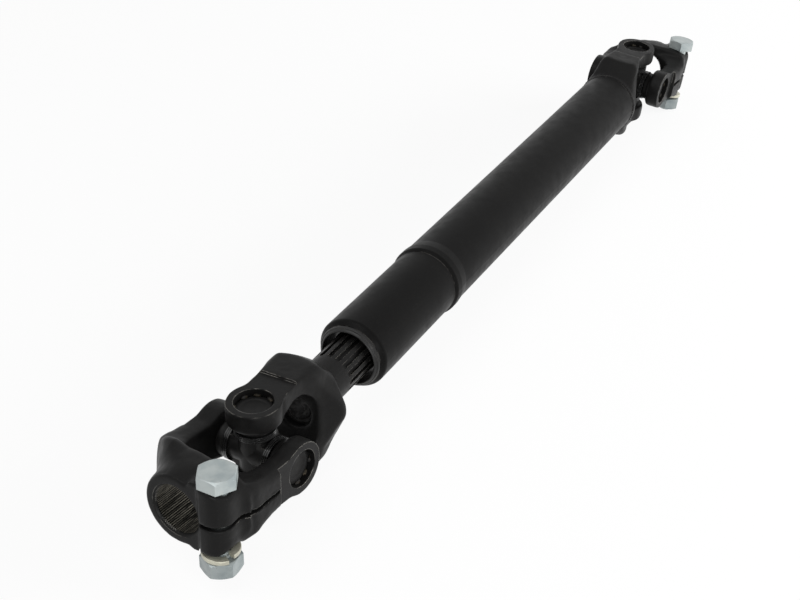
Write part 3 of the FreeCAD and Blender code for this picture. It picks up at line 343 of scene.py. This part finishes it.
# The first entry whose text is in a node's name gives its finish.
FINISHES = [
    ("near_clamp_yoke", near_forged),
    ("far_clamp_yoke", far_forged),
    ("_needles_", roller_steel),
    ("_thrust_pad_", pad_plastic),
    ("_seal_", seal_rubber),
    ("wiper_seal", seal_rubber),
    ("_cup_", cup_steel),
    ("_cross", cross_steel),
    ("_bolt", zinc),
    ("_nut", shaded_nut_zinc),
    ("_washer", yellow_zinc),
    ("splined_shaft", shaft_steel),
    ("sealing_plug", plug_steel),
    ("retainer_ring", rolled),
    ("sleeve", drawn),
    ("yoke", forged),
    ("tube", drawn),
]


def dress(node, material):
    """The node keeps its CAD mesh and gets this finish."""
    if not node.material_slots:
        node.data.materials.append(material)
    for slot in node.material_slots:
        slot.material = material


for name, node in nodes.items():
    dress(node, next(material for part, material in FINISHES if part in name))

# ---------------------------------------------------------------- places on the frame
# Each joint's parts are shaped in millimetres, in a local frame at the joint's centre.
# X runs from there to the mouth of a clamp, or to the shaft or tube of a fork.
# In a clamp left means +Y, and its slot lies at Z = 0 on the right of the bore.


def local_frame(centre, x_axis, y_axis):
    """Matrix from millimetres at a joint's centre to the world."""
    x = Vector(x_axis).normalized()
    z = x.cross(Vector(y_axis)).normalized()
    y = z.cross(x)
    turn = Matrix((x, y, z)).transposed().to_4x4()
    return Matrix.Translation(centre) @ turn @ Matrix.Scale(MM, 4)


def fork_frame(joint, x_axis):
    """The frame of a fork whose ears stand along a joint's axis, Z."""
    z = Vector(joints[joint]["axis"])
    return local_frame(joints[joint]["pos_m"], x_axis, z.cross(Vector(x_axis)))


def clamp_frame(end):
    """The frame of a clamp yoke, whose ears stand along its joint's axis, Y."""
    joint = joints[f"{end}_clamp_turn"]
    return local_frame(joint["pos_m"], mounts[f"{end}_clamp_bore"]["axis"], joint["axis"])


def quarter_turn(place, axis, sign=1):
    return place @ Matrix.Rotation(math.radians(sign * 90), 4, axis)


def upright(place):
    """A local frame whose Z axis runs along the given frame's Y axis."""
    return quarter_turn(place, "X", -1)


def lengthwise(place):
    """A local frame whose Z axis runs along the given frame's X axis."""
    return quarter_turn(place, "Y")


def facing(place, direction):
    """The frame, turned over if its Z axis points away from a direction."""
    if direction.dot(place.to_3x3() @ Vector((0, 0, 1))) < 0:
        return place @ Matrix.Rotation(math.pi, 4, "X")
    return place


SHAFT_FORK = fork_frame("near_cross_turn", (1, 0, 0))
TUBE_FORK = fork_frame("far_cross_turn", (-1, 0, 0))
CLAMPS = {"near": clamp_frame("near"), "far": clamp_frame("far")}

# ---------------------------------------------------------------- mesh helpers

WELD_DISTANCE = 0.001 * MM


def new_piece(name, mesh, body, material, slot, *replaced):
    piece = bpy.data.objects.new(name, mesh)
    bpy.context.scene.collection.objects.link(piece)
    mesh.materials.clear()
    mesh.materials.append(material)
    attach(piece, body)
    if replaced:
        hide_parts(*replaced)
    return piece


def shade(mesh, sharp_angle):
    """Smooth shading, except over edges that turn by more than an angle in degrees."""
    mesh.shade_smooth()
    mesh.set_sharp_from_angle(angle=math.radians(sharp_angle))


def mesh_of(name, points, faces, smooth=True):
    mesh = bpy.data.meshes.new(name)
    mesh.from_pydata([tuple(p) for p in points], [], faces)
    mesh.validate()
    shape = bmesh.new()
    shape.from_mesh(mesh)
    bmesh.ops.remove_doubles(shape, verts=shape.verts, dist=WELD_DISTANCE)
    bmesh.ops.recalc_face_normals(shape, faces=shape.faces)
    shape.to_mesh(mesh)
    shape.free()
    if smooth:
        shade(mesh, 40)
    return mesh


def plain(mesh):
    """The points and faces of a mesh."""
    return [v.co.copy() for v in mesh.vertices], [tuple(p.vertices) for p in mesh.polygons]


def join(mesh, *others):
    """Add the other meshes to one, and delete them."""
    shape = bmesh.new()
    shape.from_mesh(mesh)
    for other in others:
        shape.from_mesh(other)
        bpy.data.meshes.remove(other)
    shape.to_mesh(mesh)
    shape.free()


def polar(radius, angle, height=0.0):
    return Vector((radius * math.cos(angle), radius * math.sin(angle), height))


def skin(rows, count, start=0, wrap=False):
    """Faces between rows of points, where each row is a closed loop of count points.
    start is the number of the first point, and wrap joins the last row to the first."""
    faces = []
    for i in range(rows if wrap else rows - 1):
        row = start + i * count
        next_row = start + (i + 1) % rows * count
        for j in range(count):
            ahead = (j + 1) % count
            faces.append((row + j, row + ahead, next_row + ahead, next_row + j))
    return faces


def lathe(profile, place, steps=96, wobble=None):
    """Points and faces of a closed profile (radius, height) turned about the local Z axis.
    wobble(radius, height, angle) may shift a point's radius and height."""
    points = []
    for k in range(steps):
        angle = 2 * math.pi * k / steps
        for radius, height in profile:
            if wobble:
                radius, height = wobble(radius, height, angle)
            points.append(place @ polar(radius, angle, height))
    return points, skin(steps, len(profile), wrap=True)


def prism(outline, place, start, end):
    """Closed prism of an outline in the local XY plane."""
    count = len(outline)
    points = [place @ Vector((x, y, height)) for height in (start, end) for x, y in outline]
    faces = [tuple(range(count))[::-1], tuple(range(count, 2 * count))]
    faces += [(i, (i + 1) % count, count + (i + 1) % count, count + i) for i in range(count)]
    return points, faces


def cylinder(place, radius, start, end, steps=96):
    """Closed cylinder about the local Z axis."""
    outline = [polar(radius, 2 * math.pi * k / steps)[:2] for k in range(steps)]
    return prism(outline, place, start, end)


def box(place, low, high):
    (x0, y0, z0), (x1, y1, z1) = low, high
    return prism([(x0, y0), (x1, y0), (x1, y1), (x0, y1)], place, z0, z1)


def solid_object(name, points, faces):
    """Helper solid for a remesh or a cut; it is deleted again."""
    mesh = mesh_of(name, points, faces, smooth=False)
    helper = bpy.data.objects.new(name, mesh)
    bpy.context.scene.collection.objects.link(helper)
    return helper


def baked(helper):
    """The helper's mesh with its modifiers applied."""
    bpy.context.view_layer.update()
    shaped = helper.evaluated_get(bpy.context.evaluated_depsgraph_get())
    result = bpy.data.meshes.new_from_object(shaped)
    helper.modifiers.clear()
    old = helper.data
    helper.data = result
    bpy.data.meshes.remove(old)
    return result


def drop(helper):
    mesh = helper.data
    bpy.data.objects.remove(helper)
    bpy.data.meshes.remove(mesh)


# ---------------------------------------------------------------- forgings

VOXEL = 0.5 * MM
SOFT_ROUNDS, BLEND_ROUNDS = 26, 90  # of smoothing: all over, and where arms and collars blend
RELAX_SHARE = 0.6


def relax(mesh, place, firmness, rounds):
    """Smooth a mesh evenly; firmness(x, y, z) in local millimetres is 1 where it stays as it is."""
    count = len(mesh.vertices)
    points = np.empty(count * 3)
    mesh.vertices.foreach_get("co", points)
    points = points.reshape(-1, 3)
    ends = np.empty(len(mesh.edges) * 2, dtype=np.int64)
    mesh.edges.foreach_get("vertices", ends)
    a, b = ends.reshape(-1, 2).T
    neighbours = np.bincount(a, minlength=count) + np.bincount(b, minlength=count)
    back = np.array(place.inverted())
    local = points @ back[:3, :3].T + back[:3, 3]
    share = RELAX_SHARE * (1 - np.clip(firmness(*local.T), 0, 1))
    for _ in range(rounds):
        sums = np.empty_like(points)
        for k in range(3):
            sums[:, k] = np.bincount(a, points[b, k], count) + np.bincount(b, points[a, k], count)
        points += share[:, None] * (sums / neighbours[:, None] - points)
    mesh.vertices.foreach_set("co", points.ravel())
    mesh.update()


def uneven(mesh, place, height, offset=None):
    """Shift each point along its normal by height(x, y, z), and by the vector
    offset(x, y, z) where the two halves of the die did not meet, all in local millimetres."""
    back = place.inverted()
    normals = [v.normal.copy() for v in mesh.vertices]
    for vertex, normal in zip(mesh.vertices, normals):
        spot = back @ vertex.co
        vertex.co += normal * (height(*spot) * MM)
        if offset:
            vertex.co += place.to_3x3() @ Vector(offset(*spot))
    mesh.update()


def forging(node, place, filled, firmness, height, cuts, offset=None, blends=None):
    """The CAD node as it left the hammer, with soft uneven edges, and then machined again.
    filled are the solids that the machining took away and cuts are its tools, both as
    (points, faces). firmness, height, offset and blends are functions of the local place."""
    base = solid_object(f"{node}_raw", *plain(nodes[node].data))
    join(base.data, *[mesh_of("fill", *solid, smooth=False) for solid in filled])
    grid = base.modifiers.new("grid", "REMESH")
    grid.mode = "VOXEL"
    grid.voxel_size = VOXEL
    grid.adaptivity = 0.0
    mesh = baked(base)
    relax(mesh, place, firmness, SOFT_ROUNDS)
    if blends:
        relax(mesh, place, blends, BLEND_ROUNDS)
    uneven(mesh, place, height, offset)
    tools = []
    for i, (points, faces) in enumerate(cuts):
        tool = solid_object(f"cut_{i}", points, faces)
        tools.append(tool)
        cut = base.modifiers.new(f"cut_{i}", "BOOLEAN")
        cut.operation = "DIFFERENCE"
        cut.solver = "MANIFOLD"
        cut.object = tool
    mesh = baked(base)
    for tool in tools:
        drop(tool)
    bpy.data.objects.remove(base)
    shade(mesh, 38)
    return mesh


# All in local millimetres. An ear of a fork: its machined face, its forged face, and where the
# machining ends.
EAR_FACE, EAR_RAW, SHOULDER = 27.4, 28.7, 20.7
FORK_STEP_RUN = 1.2
# The ears of a clamp: side, machined face, forged face, and the run of the step at its end.
CLAMP_EARS = ((1, 28.1, 31.0, 7.0), (-1, 26.9, 29.2, 1.2))
CLAMP_SHOULDER, MOUTH, THROAT = 18.0, 56.2, 35.0
ARM_OFFSET = 1.8  # the left arm of a clamp is forged this far off centre, towards -Z
# The bores of the cups, and the solids that fill them.
CUP_BORE, CUP_BORE_REACH = 9.535, 36
CUP_BORE_FILL, CLAMP_BORE_FROM, FORK_BORE_FROM = 9.7, 16.9, 16.5
# Radius and half width of the solids that raise an ear's face again.
CLAMP_FACE_FILL, CLAMP_FACE_HALF = 13.1, 10.5
FORK_FACE_FILL, FORK_FACE_HALF = 13.2, 10.2
FACE_TOOL_START, FACE_TOOL_REACH, FACE_TOOL_HEIGHT = -16, 20, 6
# The serrated bore: points of a tooth (share of the pitch, radius), and the chamfer at the mouth.
TEETH, TOOTH_TIPS, TOOTH_ROOTS = 79, 12.35, 12.85
TOOTH_OUTLINE = ((-0.2, TOOTH_TIPS), (0.0, TOOTH_TIPS), (0.2, TOOTH_TIPS),
                 (0.42, TOOTH_ROOTS), (0.58, TOOTH_ROOTS))
CHAMFER, CHAMFER_INNER, CHAMFER_OUTER = 1.6, 12.2, 13.6
TEETH_FILL, CHAMFER_FILL = 12.9, 13.7
# The weld bead of the tube's fork.
WELD_START, WELD_LENGTH = 47.1, 3.4


def face_cutter(place, side, level, end, run):
    """Wedge that machines an ear's face down to a level, with a sloping step at its end."""
    low, high = side * level, side * (level + FACE_TOOL_HEIGHT)
    outline = [(FACE_TOOL_START, low), (end, low), (end + run, high), (FACE_TOOL_START, high)]
    return prism(outline, place, -FACE_TOOL_REACH, FACE_TOOL_REACH)


def cup_bore(place):
    return cylinder(place, CUP_BORE, -CUP_BORE_REACH, CUP_BORE_REACH, 128)


def serration(place, start, end):
    """Prism that cuts the bore and the gaps between its teeth, about the local Z axis."""
    pitch = 2 * math.pi / TEETH
    outline = [polar(radius, (tooth + share) * pitch)[:2]
               for tooth in range(TEETH) for share, radius in TOOTH_OUTLINE]
    return prism(outline, place, start, end)


def ramp_up(value, low, high):
    """0 below low, 1 above high."""
    return np.clip((value - low) / (high - low), 0.0, 1.0)


def ramp_down(value, low, high):
    """1 below low, 0 above high."""
    return ramp_up(-value, -high, -low)


def clamped(value):
    """The same limits for one number, where numpy is slow."""
    return min(1.0, max(0.0, value))


def hammered(x, y, z):
    """Slow unevenness of a forging, in millimetres. It is sunk a little, to stay in its box."""
    point = Vector((x, y, z))
    return 0.16 * noise.noise(point * 0.11) + 0.07 * noise.noise(point * 0.34) - 0.08


def clamp_forging(end):
    """Clamp yoke with its serrated bore along X and its ears along Y."""
    place = CLAMPS[end]
    along_y = upright(place)
    along_x = lengthwise(place)
    chamfer = [(CHAMFER_INNER, MOUTH - CHAMFER), (CHAMFER_OUTER, MOUTH), (CHAMFER_OUTER, MOUTH + 1),
               (0.0, MOUTH + 1), (0.0, MOUTH - CHAMFER)]
    filled = [cylinder(along_x, TEETH_FILL, THROAT, MOUTH),
              cylinder(along_x, CHAMFER_FILL, MOUTH - CHAMFER, MOUTH)]
    cuts = [serration(along_x, THROAT - 6, MOUTH + 1), lathe(chamfer, along_x)]
    for side, face, raw, run in CLAMP_EARS:
        low, high = sorted((side * (face - 1), side * (raw - 0.2)))
        bore_ends = sorted((side * CLAMP_BORE_FROM, side * (raw - 0.2)))
        filled.append(cylinder(along_y, CLAMP_FACE_FILL, low, high))
        filled.append(cylinder(along_y, CUP_BORE_FILL, *bore_ends))
        filled.append(box(place, (0, low, -CLAMP_FACE_HALF),
                          (CLAMP_SHOULDER + 0.6, high, CLAMP_FACE_HALF)))
        cuts.append(face_cutter(place, side, face, CLAMP_SHOULDER, run))
    cuts.append(cup_bore(along_y))

    def firmness(x, y, z):
        """The lips of the slot stay as they are, and so does most of the mouth's face."""
        by_slot = (1 - ramp_up(abs(z), 1.3, 2.6)) * (y < -5.5) * (x > 17)
        at_mouth = ramp_up(x, MOUTH - 0.6, MOUTH - 0.2) * 0.7
        return np.maximum(by_slot, at_mouth)

    def height(x, y, z):
        """The same places stay even."""
        by_slot = abs(z) < 2 and y < -5 and x > 17
        return 0.0 if by_slot or x > MOUTH - 1 else hammered(x, y, z)

    def offset(x, y, z):
        """The left arm is off centre, and runs back to the middle at the collar."""
        share = clamped((y - 8) / 8) * clamped((52 - x) / 14)
        return 0.0, 0.0, -ARM_OFFSET * share

    def blends(x, y, z):
        """The left arm's root, the edges of the collar and the roots of the ears are softer still."""
        arm_root = ramp_up(x, 25, 30) * ramp_down(x, 40, 52) * ramp_up(y, 4, 9)
        collar_root = (ramp_up(x, 40, 44) * (x < 55.3) * ramp_up(abs(z), 7, 11)
                       * ramp_up(y, -13, -8) * ramp_down(y, 6, 11))
        ear_root = (ramp_up(abs(y), 22, 26) * ramp_up(x, 13, 18) * ramp_down(x, 24, 34)
                    * ramp_up(abs(z), 1, 5) * ((y > 0) | (z > 0)))
        return 1.0 - np.maximum(np.maximum(arm_root, collar_root), ear_root)

    return forging(f"{end}_clamp_yoke", place, filled, firmness, height, cuts, offset, blends)


def fork_forging(node, place, welded):
    """Fork with upright ears, with the bead of its weld if it is welded."""
    filled = []
    cuts = []
    for side in (1, -1):
        bore_ends = sorted((side * FORK_BORE_FROM, side * (EAR_RAW - 0.2)))
        low, high = sorted((side * (EAR_FACE - 1), side * (EAR_RAW - 0.1)))
        filled.append(cylinder(place, CUP_BORE_FILL, *bore_ends))
        filled.append(cylinder(place, FORK_FACE_FILL, low, high))
        filled.append(box(place, (0, -FORK_FACE_HALF, low), (SHOULDER + 0.3, FORK_FACE_HALF, high)))
        cuts.append(face_cutter(quarter_turn(place, "X"), side, EAR_FACE, SHOULDER, FORK_STEP_RUN))
    cuts.append(cup_bore(place))

    def firmness(x, y, z):
        """What lies past the start of the weld stays as it is."""
        if not welded:
            return np.zeros_like(x)
        return ramp_up(x, WELD_START - 0.5, WELD_START + 0.3)

    def height(x, y, z):
        """Ripples along the bead, an even face past it, and hammered faces before it."""
        if not welded or x <= WELD_START:
            return hammered(x, y, z)
        if x >= WELD_START + WELD_LENGTH:
            return -0.02
        shift = 1.5 * noise.noise(Vector((y, z, 0)) * 0.3)
        ripple = 0.16 * math.sin(math.atan2(z, y) * 70 + shift)
        lump = 0.22 * noise.noise(Vector((x, y, z)) * 0.4)
        return ripple + lump - 0.15

    return forging(node, place, filled, firmness, height, cuts)


def add_forgings():
    for end, material in (("near", near_forged), ("far", far_forged)):
        new_piece(f"{end}_clamp_forging", clamp_forging(end), f"{end}_clamp", material,
                  "black_paint", f"{end}_clamp_yoke")
    shaft_fork = fork_forging("shaft_yoke", SHAFT_FORK, welded=False)
    new_piece("shaft_fork_forging", shaft_fork, "slip_shaft", forged, "black_paint", "shaft_yoke")
    tube_fork = fork_forging("tube_yoke", TUBE_FORK, welded=True)
    new_piece("tube_fork_forging", tube_fork, "tube", forged, "black_paint", "tube_yoke")


# ---------------------------------------------------------------- bearing cups

CUP_PROFILE = [
    (0.0, 23.14), (0.7, 23.0), (1.3, 23.14), (6.0, 23.12), (6.5, 23.2), (6.9, 23.52), (7.3, 23.58),
    (8.4, 23.6), (8.9, 23.5), (9.3, 23.2), (9.5, 22.7), (9.525, 22.2), (9.525, 14.1), (9.3, 13.8),
    (8.3, 13.8), (8.075, 14.0), (8.075, 21.8), (0.0, 21.8),
]
STAKE_PHASES = {"top": 0.4, "bottom": 0.9, "left": 0.2, "right": 0.7}
STAKES, STAKE_RADIUS, STAKE_LEVEL = 8, 9.2, 23.8
STAKE_DEPTH, STAKE_WIDTH, STAKE_HEIGHT = 1.1, 1.8, 0.9  # half of each
STAKE_WANDER, STAKE_ROUGHNESS = 0.12, 0.35
STAKE_RINGS, STAKE_STEPS = 8, 14


def cup_place(end, arm):
    """Frame with Z out along an arm, and the body that holds its cup."""
    if arm in ("left", "right"):
        base, body = CLAMPS[end], f"{end}_clamp"
        place = upright(base)
    else:
        base, body = (SHAFT_FORK, "slip_shaft") if end == "near" else (TUBE_FORK, "tube")
        place = base
    low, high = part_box(f"{end}_cup_{arm}")
    return facing(place, (Vector(low) + Vector(high)) / 2 - base.translation), body


def staking(place, phase, seed):
    """Lumps that the punch has raised from the wall of the bore over the edge of a cup."""
    points = []
    faces = []
    for k in range(STAKES):
        angle = phase + 2 * math.pi * k / STAKES + STAKE_WANDER * math.sin(seed + 2.3 * k)
        centre = polar(STAKE_RADIUS, angle, STAKE_LEVEL)
        out = Vector((math.cos(angle), math.sin(angle), 0))
        side = Vector((-math.sin(angle), math.cos(angle), 0))
        faces += skin(STAKE_RINGS + 1, STAKE_STEPS, len(points))
        for i in range(STAKE_RINGS + 1):
            tilt = math.pi * i / STAKE_RINGS
            for j in range(STAKE_STEPS):
                turn = 2 * math.pi * j / STAKE_STEPS
                spot = (out * (STAKE_DEPTH * math.sin(tilt) * math.cos(turn))
                        + side * (STAKE_WIDTH * math.sin(tilt) * math.sin(turn))
                        + Vector((0, 0, STAKE_HEIGHT * math.cos(tilt))))
                rough = 1 + STAKE_ROUGHNESS * noise.noise(spot * 1.3 + Vector((seed, k * 3.1, 0)))
                points.append(place @ (centre + spot * rough))
    return points, faces


def add_cups():
    for end, phase_shift, seed_shift in (("near", 0, 0), ("far", 1, 7)):
        for arm, phase in STAKE_PHASES.items():
            place, body = cup_place(end, arm)
            node = f"{end}_cup_{arm}"
            mesh = mesh_of(node, *lathe(CUP_PROFILE, place))
            new_piece(f"{node}_drawn", mesh, body, cup_steel, "cup_steel", node)
            mesh = mesh_of("staking", *staking(place, phase + phase_shift, len(arm) + seed_shift))
            new_piece(f"{node}_staking", mesh, body, staked, "black_paint")


# ---------------------------------------------------------------- bolts and washers

# All in millimetres; HEAD_SIDE is from the clamp's middle to the seat of the head.
BOLT_X, BOLT_Y, HEAD_SIDE, BOLT_LENGTH = 49.2, -19.0, 19.6, 49.1
SHANK_RADIUS, SHANK_CHAMFER, SHANK_STEPS = 5.0, 1.0, 64
SHANK_SLACK, SHANK_TOLERANCE = 0.02, 0.05
THREAD_PITCH, THREAD_LENGTH, THREAD_ROW = 1.5, 26.0, 0.125
THREAD_DEPTH, THREAD_CREST, THREAD_RUN_IN = 0.85, 0.06, 2
NUT_SEAT = 15.2
WASHER_HEIGHT, WASHER_THICKNESS, WASHER_CORNER = 4.2, 2.2, 0.35
WASHER_INNER, WASHER_OUTER = 5.2, 9.05
WASHER_STEPS, WASHER_SWEEP = 120, math.radians(343)
SPLITS = {"near": math.radians(255), "far": math.radians(120)}


def bolt_place(end):
    """Frame under the bolt's head, Z towards the head."""
    place = CLAMPS[end] @ Matrix.Translation((BOLT_X, BOLT_Y, 0))
    _, bolt_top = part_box(f"{end}_clamp_bolt")
    _, nut_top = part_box(f"{end}_clamp_nut")
    place = facing(place, Vector(bolt_top) - Vector(nut_top))
    return place @ Matrix.Translation((0, 0, HEAD_SIDE))


def shank_radius(z, turn):
    """Radius of the threaded shank at a depth of -z and a turn in whole turns."""
    depth = -z - (BOLT_LENGTH - THREAD_LENGTH)
    groove = 0.0
    if depth > 0:
        along = (z / THREAD_PITCH + turn) % 1.0
        groove = max(0.0, THREAD_DEPTH * (1 - abs(2 * along - 1)) - THREAD_CREST)
        groove *= clamped(depth / THREAD_RUN_IN)
    chamfer = max(0.0, SHANK_CHAMFER + (-z - BOLT_LENGTH))
    return min(SHANK_RADIUS - SHANK_SLACK - groove, SHANK_RADIUS - chamfer)


def shank_mesh(place):
    """Shank from just inside the head to its end, threaded over THREAD_LENGTH."""
    thread_start = -(BOLT_LENGTH - THREAD_LENGTH)
    count = int(THREAD_LENGTH / THREAD_ROW) + 1
    rows = [0.3, -0.5] + [thread_start - THREAD_ROW * i for i in range(count)]
    points = [place @ polar(shank_radius(z, k / SHANK_STEPS), k / SHANK_STEPS * 2 * math.pi, z)
              for z in rows for k in range(SHANK_STEPS)]
    faces = skin(len(rows), SHANK_STEPS)
    faces.append(tuple(range(len(points) - SHANK_STEPS, len(points))))
    return mesh_of("shank", points, faces)


def bolt_mesh(end):
    """The CAD bolt's head with a shank that is threaded at its end."""
    place = bolt_place(end)
    back = place.inverted()
    shape = bmesh.new()
    shape.from_mesh(nodes[f"{end}_clamp_bolt"].data)

    def on_shank(vertex):
        spot = back @ vertex.co
        reach = math.hypot(spot.x, spot.y)
        return reach < SHANK_RADIUS + SHANK_TOLERANCE and spot.z < SHANK_TOLERANCE

    shank_faces = [f for f in shape.faces if all(on_shank(v) for v in f.verts)]
    bmesh.ops.delete(shape, geom=shank_faces, context="FACES")
    mesh = bpy.data.meshes.new(f"{end}_bolt_threaded")
    shape.to_mesh(mesh)
    shape.free()
    join(mesh, shank_mesh(place))
    shade(mesh, 22)
    return mesh


def washer_section():
    """Rounded rectangle (x, z) about the middle of the wire."""
    x = (WASHER_OUTER - WASHER_INNER) / 2 - WASHER_CORNER
    z = WASHER_THICKNESS / 2 - WASHER_CORNER
    section = []
    for side, up, begin in ((1, 1, 0), (-1, 1, 90), (-1, -1, 180), (1, -1, 270)):
        for k in range(4):
            angle = math.radians(begin + 30 * k)
            section.append((side * x + WASHER_CORNER * math.cos(angle),
                            up * z + WASHER_CORNER * math.sin(angle)))
    return section


def washer_mesh(end):
    """Split ring with its ends apart; it starts high at the split and comes down round the bolt."""
    place = bolt_place(end) @ Matrix.Translation((0, 0, -HEAD_SIDE - NUT_SEAT - WASHER_HEIGHT))
    aim = place.to_3x3().inverted() @ Vector((math.cos(SPLITS[end]), math.sin(SPLITS[end]), 0))
    first = math.atan2(aim.y, aim.x)
    section = washer_section()
    points = []
    for i in range(WASHER_STEPS + 1):
        angle = first + WASHER_SWEEP * i / WASHER_STEPS
        rise = (WASHER_HEIGHT - WASHER_THICKNESS) * (1 - i / WASHER_STEPS) + WASHER_THICKNESS / 2
        for x, z in section:
            points.append(place @ polar((WASHER_OUTER + WASHER_INNER) / 2 + x, angle, rise + z))
    count = len(section)
    faces = skin(WASHER_STEPS + 1, count)
    faces.append(tuple(range(count)))
    faces.append(tuple(range(len(points) - count, len(points))))
    return mesh_of(f"{end}_split_washer", points, faces)


def add_bolts():
    for end in ("near", "far"):
        new_piece(f"{end}_split_washer", washer_mesh(end), f"{end}_clamp", yellow_zinc, "yellow_zinc",
                  f"{end}_spring_washer")
        new_piece(f"{end}_bolt_threaded", bolt_mesh(end), f"{end}_clamp", zinc, "zinc_plate",
                  f"{end}_clamp_bolt")


# ---------------------------------------------------------------- upset end of the splined shaft

SHAFT_FACE = 37.0
# Radius, and level behind the shaft's face.
UPSET_PROFILE = [(0.0, 0.5), (0.0, -0.1), (3.2, -0.1), (4.0, -0.9), (5.6, -1.3), (6.6, -0.9),
                 (7.2, -0.2), (8.2, -0.5), (9.4, -0.8), (10.4, -0.4), (10.8, 0.6)]


def hammered_end(radius, height, angle):
    """Shift a point of the shaft's end, and leave its centre where it is."""
    spot = Vector((math.cos(angle), math.sin(angle), radius * 0.4)) * 1.6
    share = min(1.0, radius / 4)
    sideways = 0.35 * share * noise.noise(spot * 1.5)
    upwards = 0.5 * share * noise.noise(spot + Vector((5, 5, 5)))
    return radius + sideways, height + upwards


def add_shaft_end():
    """The shaft's end inside the fork is hammered over the edge of its seat."""
    profile = [(radius, SHAFT_FACE + level) for radius, level in UPSET_PROFILE]
    end = lathe(profile, lengthwise(SHAFT_FORK), 128, hammered_end)
    new_piece("shaft_upset_end", mesh_of("shaft_upset_end", *end), "slip_shaft", cross_steel, "shaft_steel")


# ---------------------------------------------------------------- ring in the nose of the sleeve

RING_BACK = 91.6
RING_PROFILE = [
    (15.0, RING_BACK), (15.0, 85.5), (15.12, 85.05), (15.45, 84.75), (15.9, 84.85), (16.25, 85.3),
    (16.5, 85.85), (16.75, 86.05), (17.05, 86.0), (17.35, 86.35), (17.5, 87.1), (17.5, RING_BACK),
]


def add_ring():
    """The retainer is rolled to two soft ridges."""
    mesh = mesh_of("rolled_retainer", *lathe(RING_PROFILE, lengthwise(SHAFT_FORK), 160))
    new_piece("rolled_retainer", mesh, "tube", rolled, "black_paint", "retainer_ring")


add_forgings()
add_cups()
add_bolts()
add_shaft_end()
add_ring()

# ---------------------------------------------------------------- floor, light and camera

low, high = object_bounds()
middle = (Vector(low) + Vector(high)) / 2
FLOOR_HALF = 7.0  # metres
FLOOR_LEVEL = low[2] - 0.2 * MM
FLOOR_GLOW = 0.9  # share of the background's white in what the camera sees of the floor
WHITE = (1.0, 1.0, 1.0, 1.0)


def floor_material():
    """White ground that takes shadows and looks nearly as white as the background."""
    s = Shader("floor_white")
    s.surface.inputs["Base Color"].default_value = grey(0.88)
    s.surface.inputs["Roughness"].default_value = 0.9
    glow = s.add("ShaderNodeEmission")
    glow.inputs["Strength"].default_value = 1.0
    rays = s.add("ShaderNodeLightPath")
    seen = s.math("MAXIMUM", rays.outputs["Is Camera Ray"], rays.outputs["Is Glossy Ray"])
    seen = s.math("MAXIMUM", seen, rays.outputs["Is Transmission Ray"])
    blend = s.add("ShaderNodeMixShader")
    s.link(s.math("MULTIPLY", seen, FLOOR_GLOW), blend.inputs[0])
    s.link(s.surface.outputs["BSDF"], blend.inputs[1])
    s.link(glow.outputs["Emission"], blend.inputs[2])
    s.link(blend.outputs["Shader"], s.output.inputs["Surface"])
    return s.material


def add_floor():
    mesh = bpy.data.meshes.new("floor")
    corners = [(-1, -1), (1, -1), (1, 1), (-1, 1)]
    points = [(middle.x + x * FLOOR_HALF, middle.y + y * FLOOR_HALF, FLOOR_LEVEL) for x, y in corners]
    mesh.from_pydata(points, [], [(0, 1, 2, 3)])
    mesh.materials.append(floor_material())
    floor = bpy.data.objects.new("floor", mesh)
    bpy.context.scene.collection.objects.link(floor)


def add_lamp(name, place, size, power, mirrored):
    """Area lamp at a place from the middle of the part and aimed at it."""
    lamp = bpy.data.lights.new(name, "AREA")
    lamp.shape = "RECTANGLE"
    lamp.size, lamp.size_y = size
    lamp.energy = power
    holder = bpy.data.objects.new(name, lamp)
    holder.location = middle + Vector(place)
    holder.rotation_euler = (-Vector(place)).to_track_quat("-Z", "Y").to_euler()
    holder.visible_glossy = mirrored
    bpy.context.scene.collection.objects.link(holder)


def background(tree, strength):
    node = tree.nodes.new("ShaderNodeBackground")
    node.inputs["Color"].default_value = WHITE
    node.inputs["Strength"].default_value = strength
    return node.outputs[0]


def add_world():
    """White to the camera and in mirrors and glass, and a dimmer white as light."""
    world = bpy.data.worlds.new("studio")
    world.use_nodes = True
    tree = world.node_tree
    tree.nodes.clear()
    output = tree.nodes.new("ShaderNodeOutputWorld")
    rays = tree.nodes.new("ShaderNodeLightPath")
    share = rays.outputs["Is Camera Ray"]
    for other in ("Is Glossy Ray", "Is Transmission Ray"):
        either = tree.nodes.new("ShaderNodeMath")
        either.operation = "MAXIMUM"
        tree.links.new(share, either.inputs[0])
        tree.links.new(rays.outputs[other], either.inputs[1])
        share = either.outputs[0]
    blend = tree.nodes.new("ShaderNodeMixShader")
    tree.links.new(share, blend.inputs[0])
    tree.links.new(background(tree, 0.4), blend.inputs[1])
    tree.links.new(background(tree, 1.0), blend.inputs[2])
    tree.links.new(blend.outputs[0], output.inputs["Surface"])
    bpy.context.scene.world = world


def add_camera():
    lens = bpy.data.cameras.new("camera")
    lens.sensor_width = 36.0
    lens.lens = 60.635
    lens.clip_start = 0.01
    camera = bpy.data.objects.new("camera", lens)
    camera.location = (-0.35328, -0.29883, 0.39180)
    camera.rotation_euler = [math.radians(a) for a in (57.976, -0.2996, -61.673)]
    bpy.context.scene.collection.objects.link(camera)
    bpy.context.scene.camera = camera


add_floor()
add_world()
add_lamp("key", place=(-0.7, 0.2, 1.3), size=(1.2, 0.9), power=6.0, mirrored=True)
add_lamp("front", place=(-1.3, -0.9, 0.25), size=(0.9, 0.5), power=9.0, mirrored=True)
add_lamp("side", place=(0.7, -1.3, 0.35), size=(1.3, 0.6), power=42.0, mirrored=False)
add_camera()
bpy.context.scene.view_settings.view_transform = "Standard"
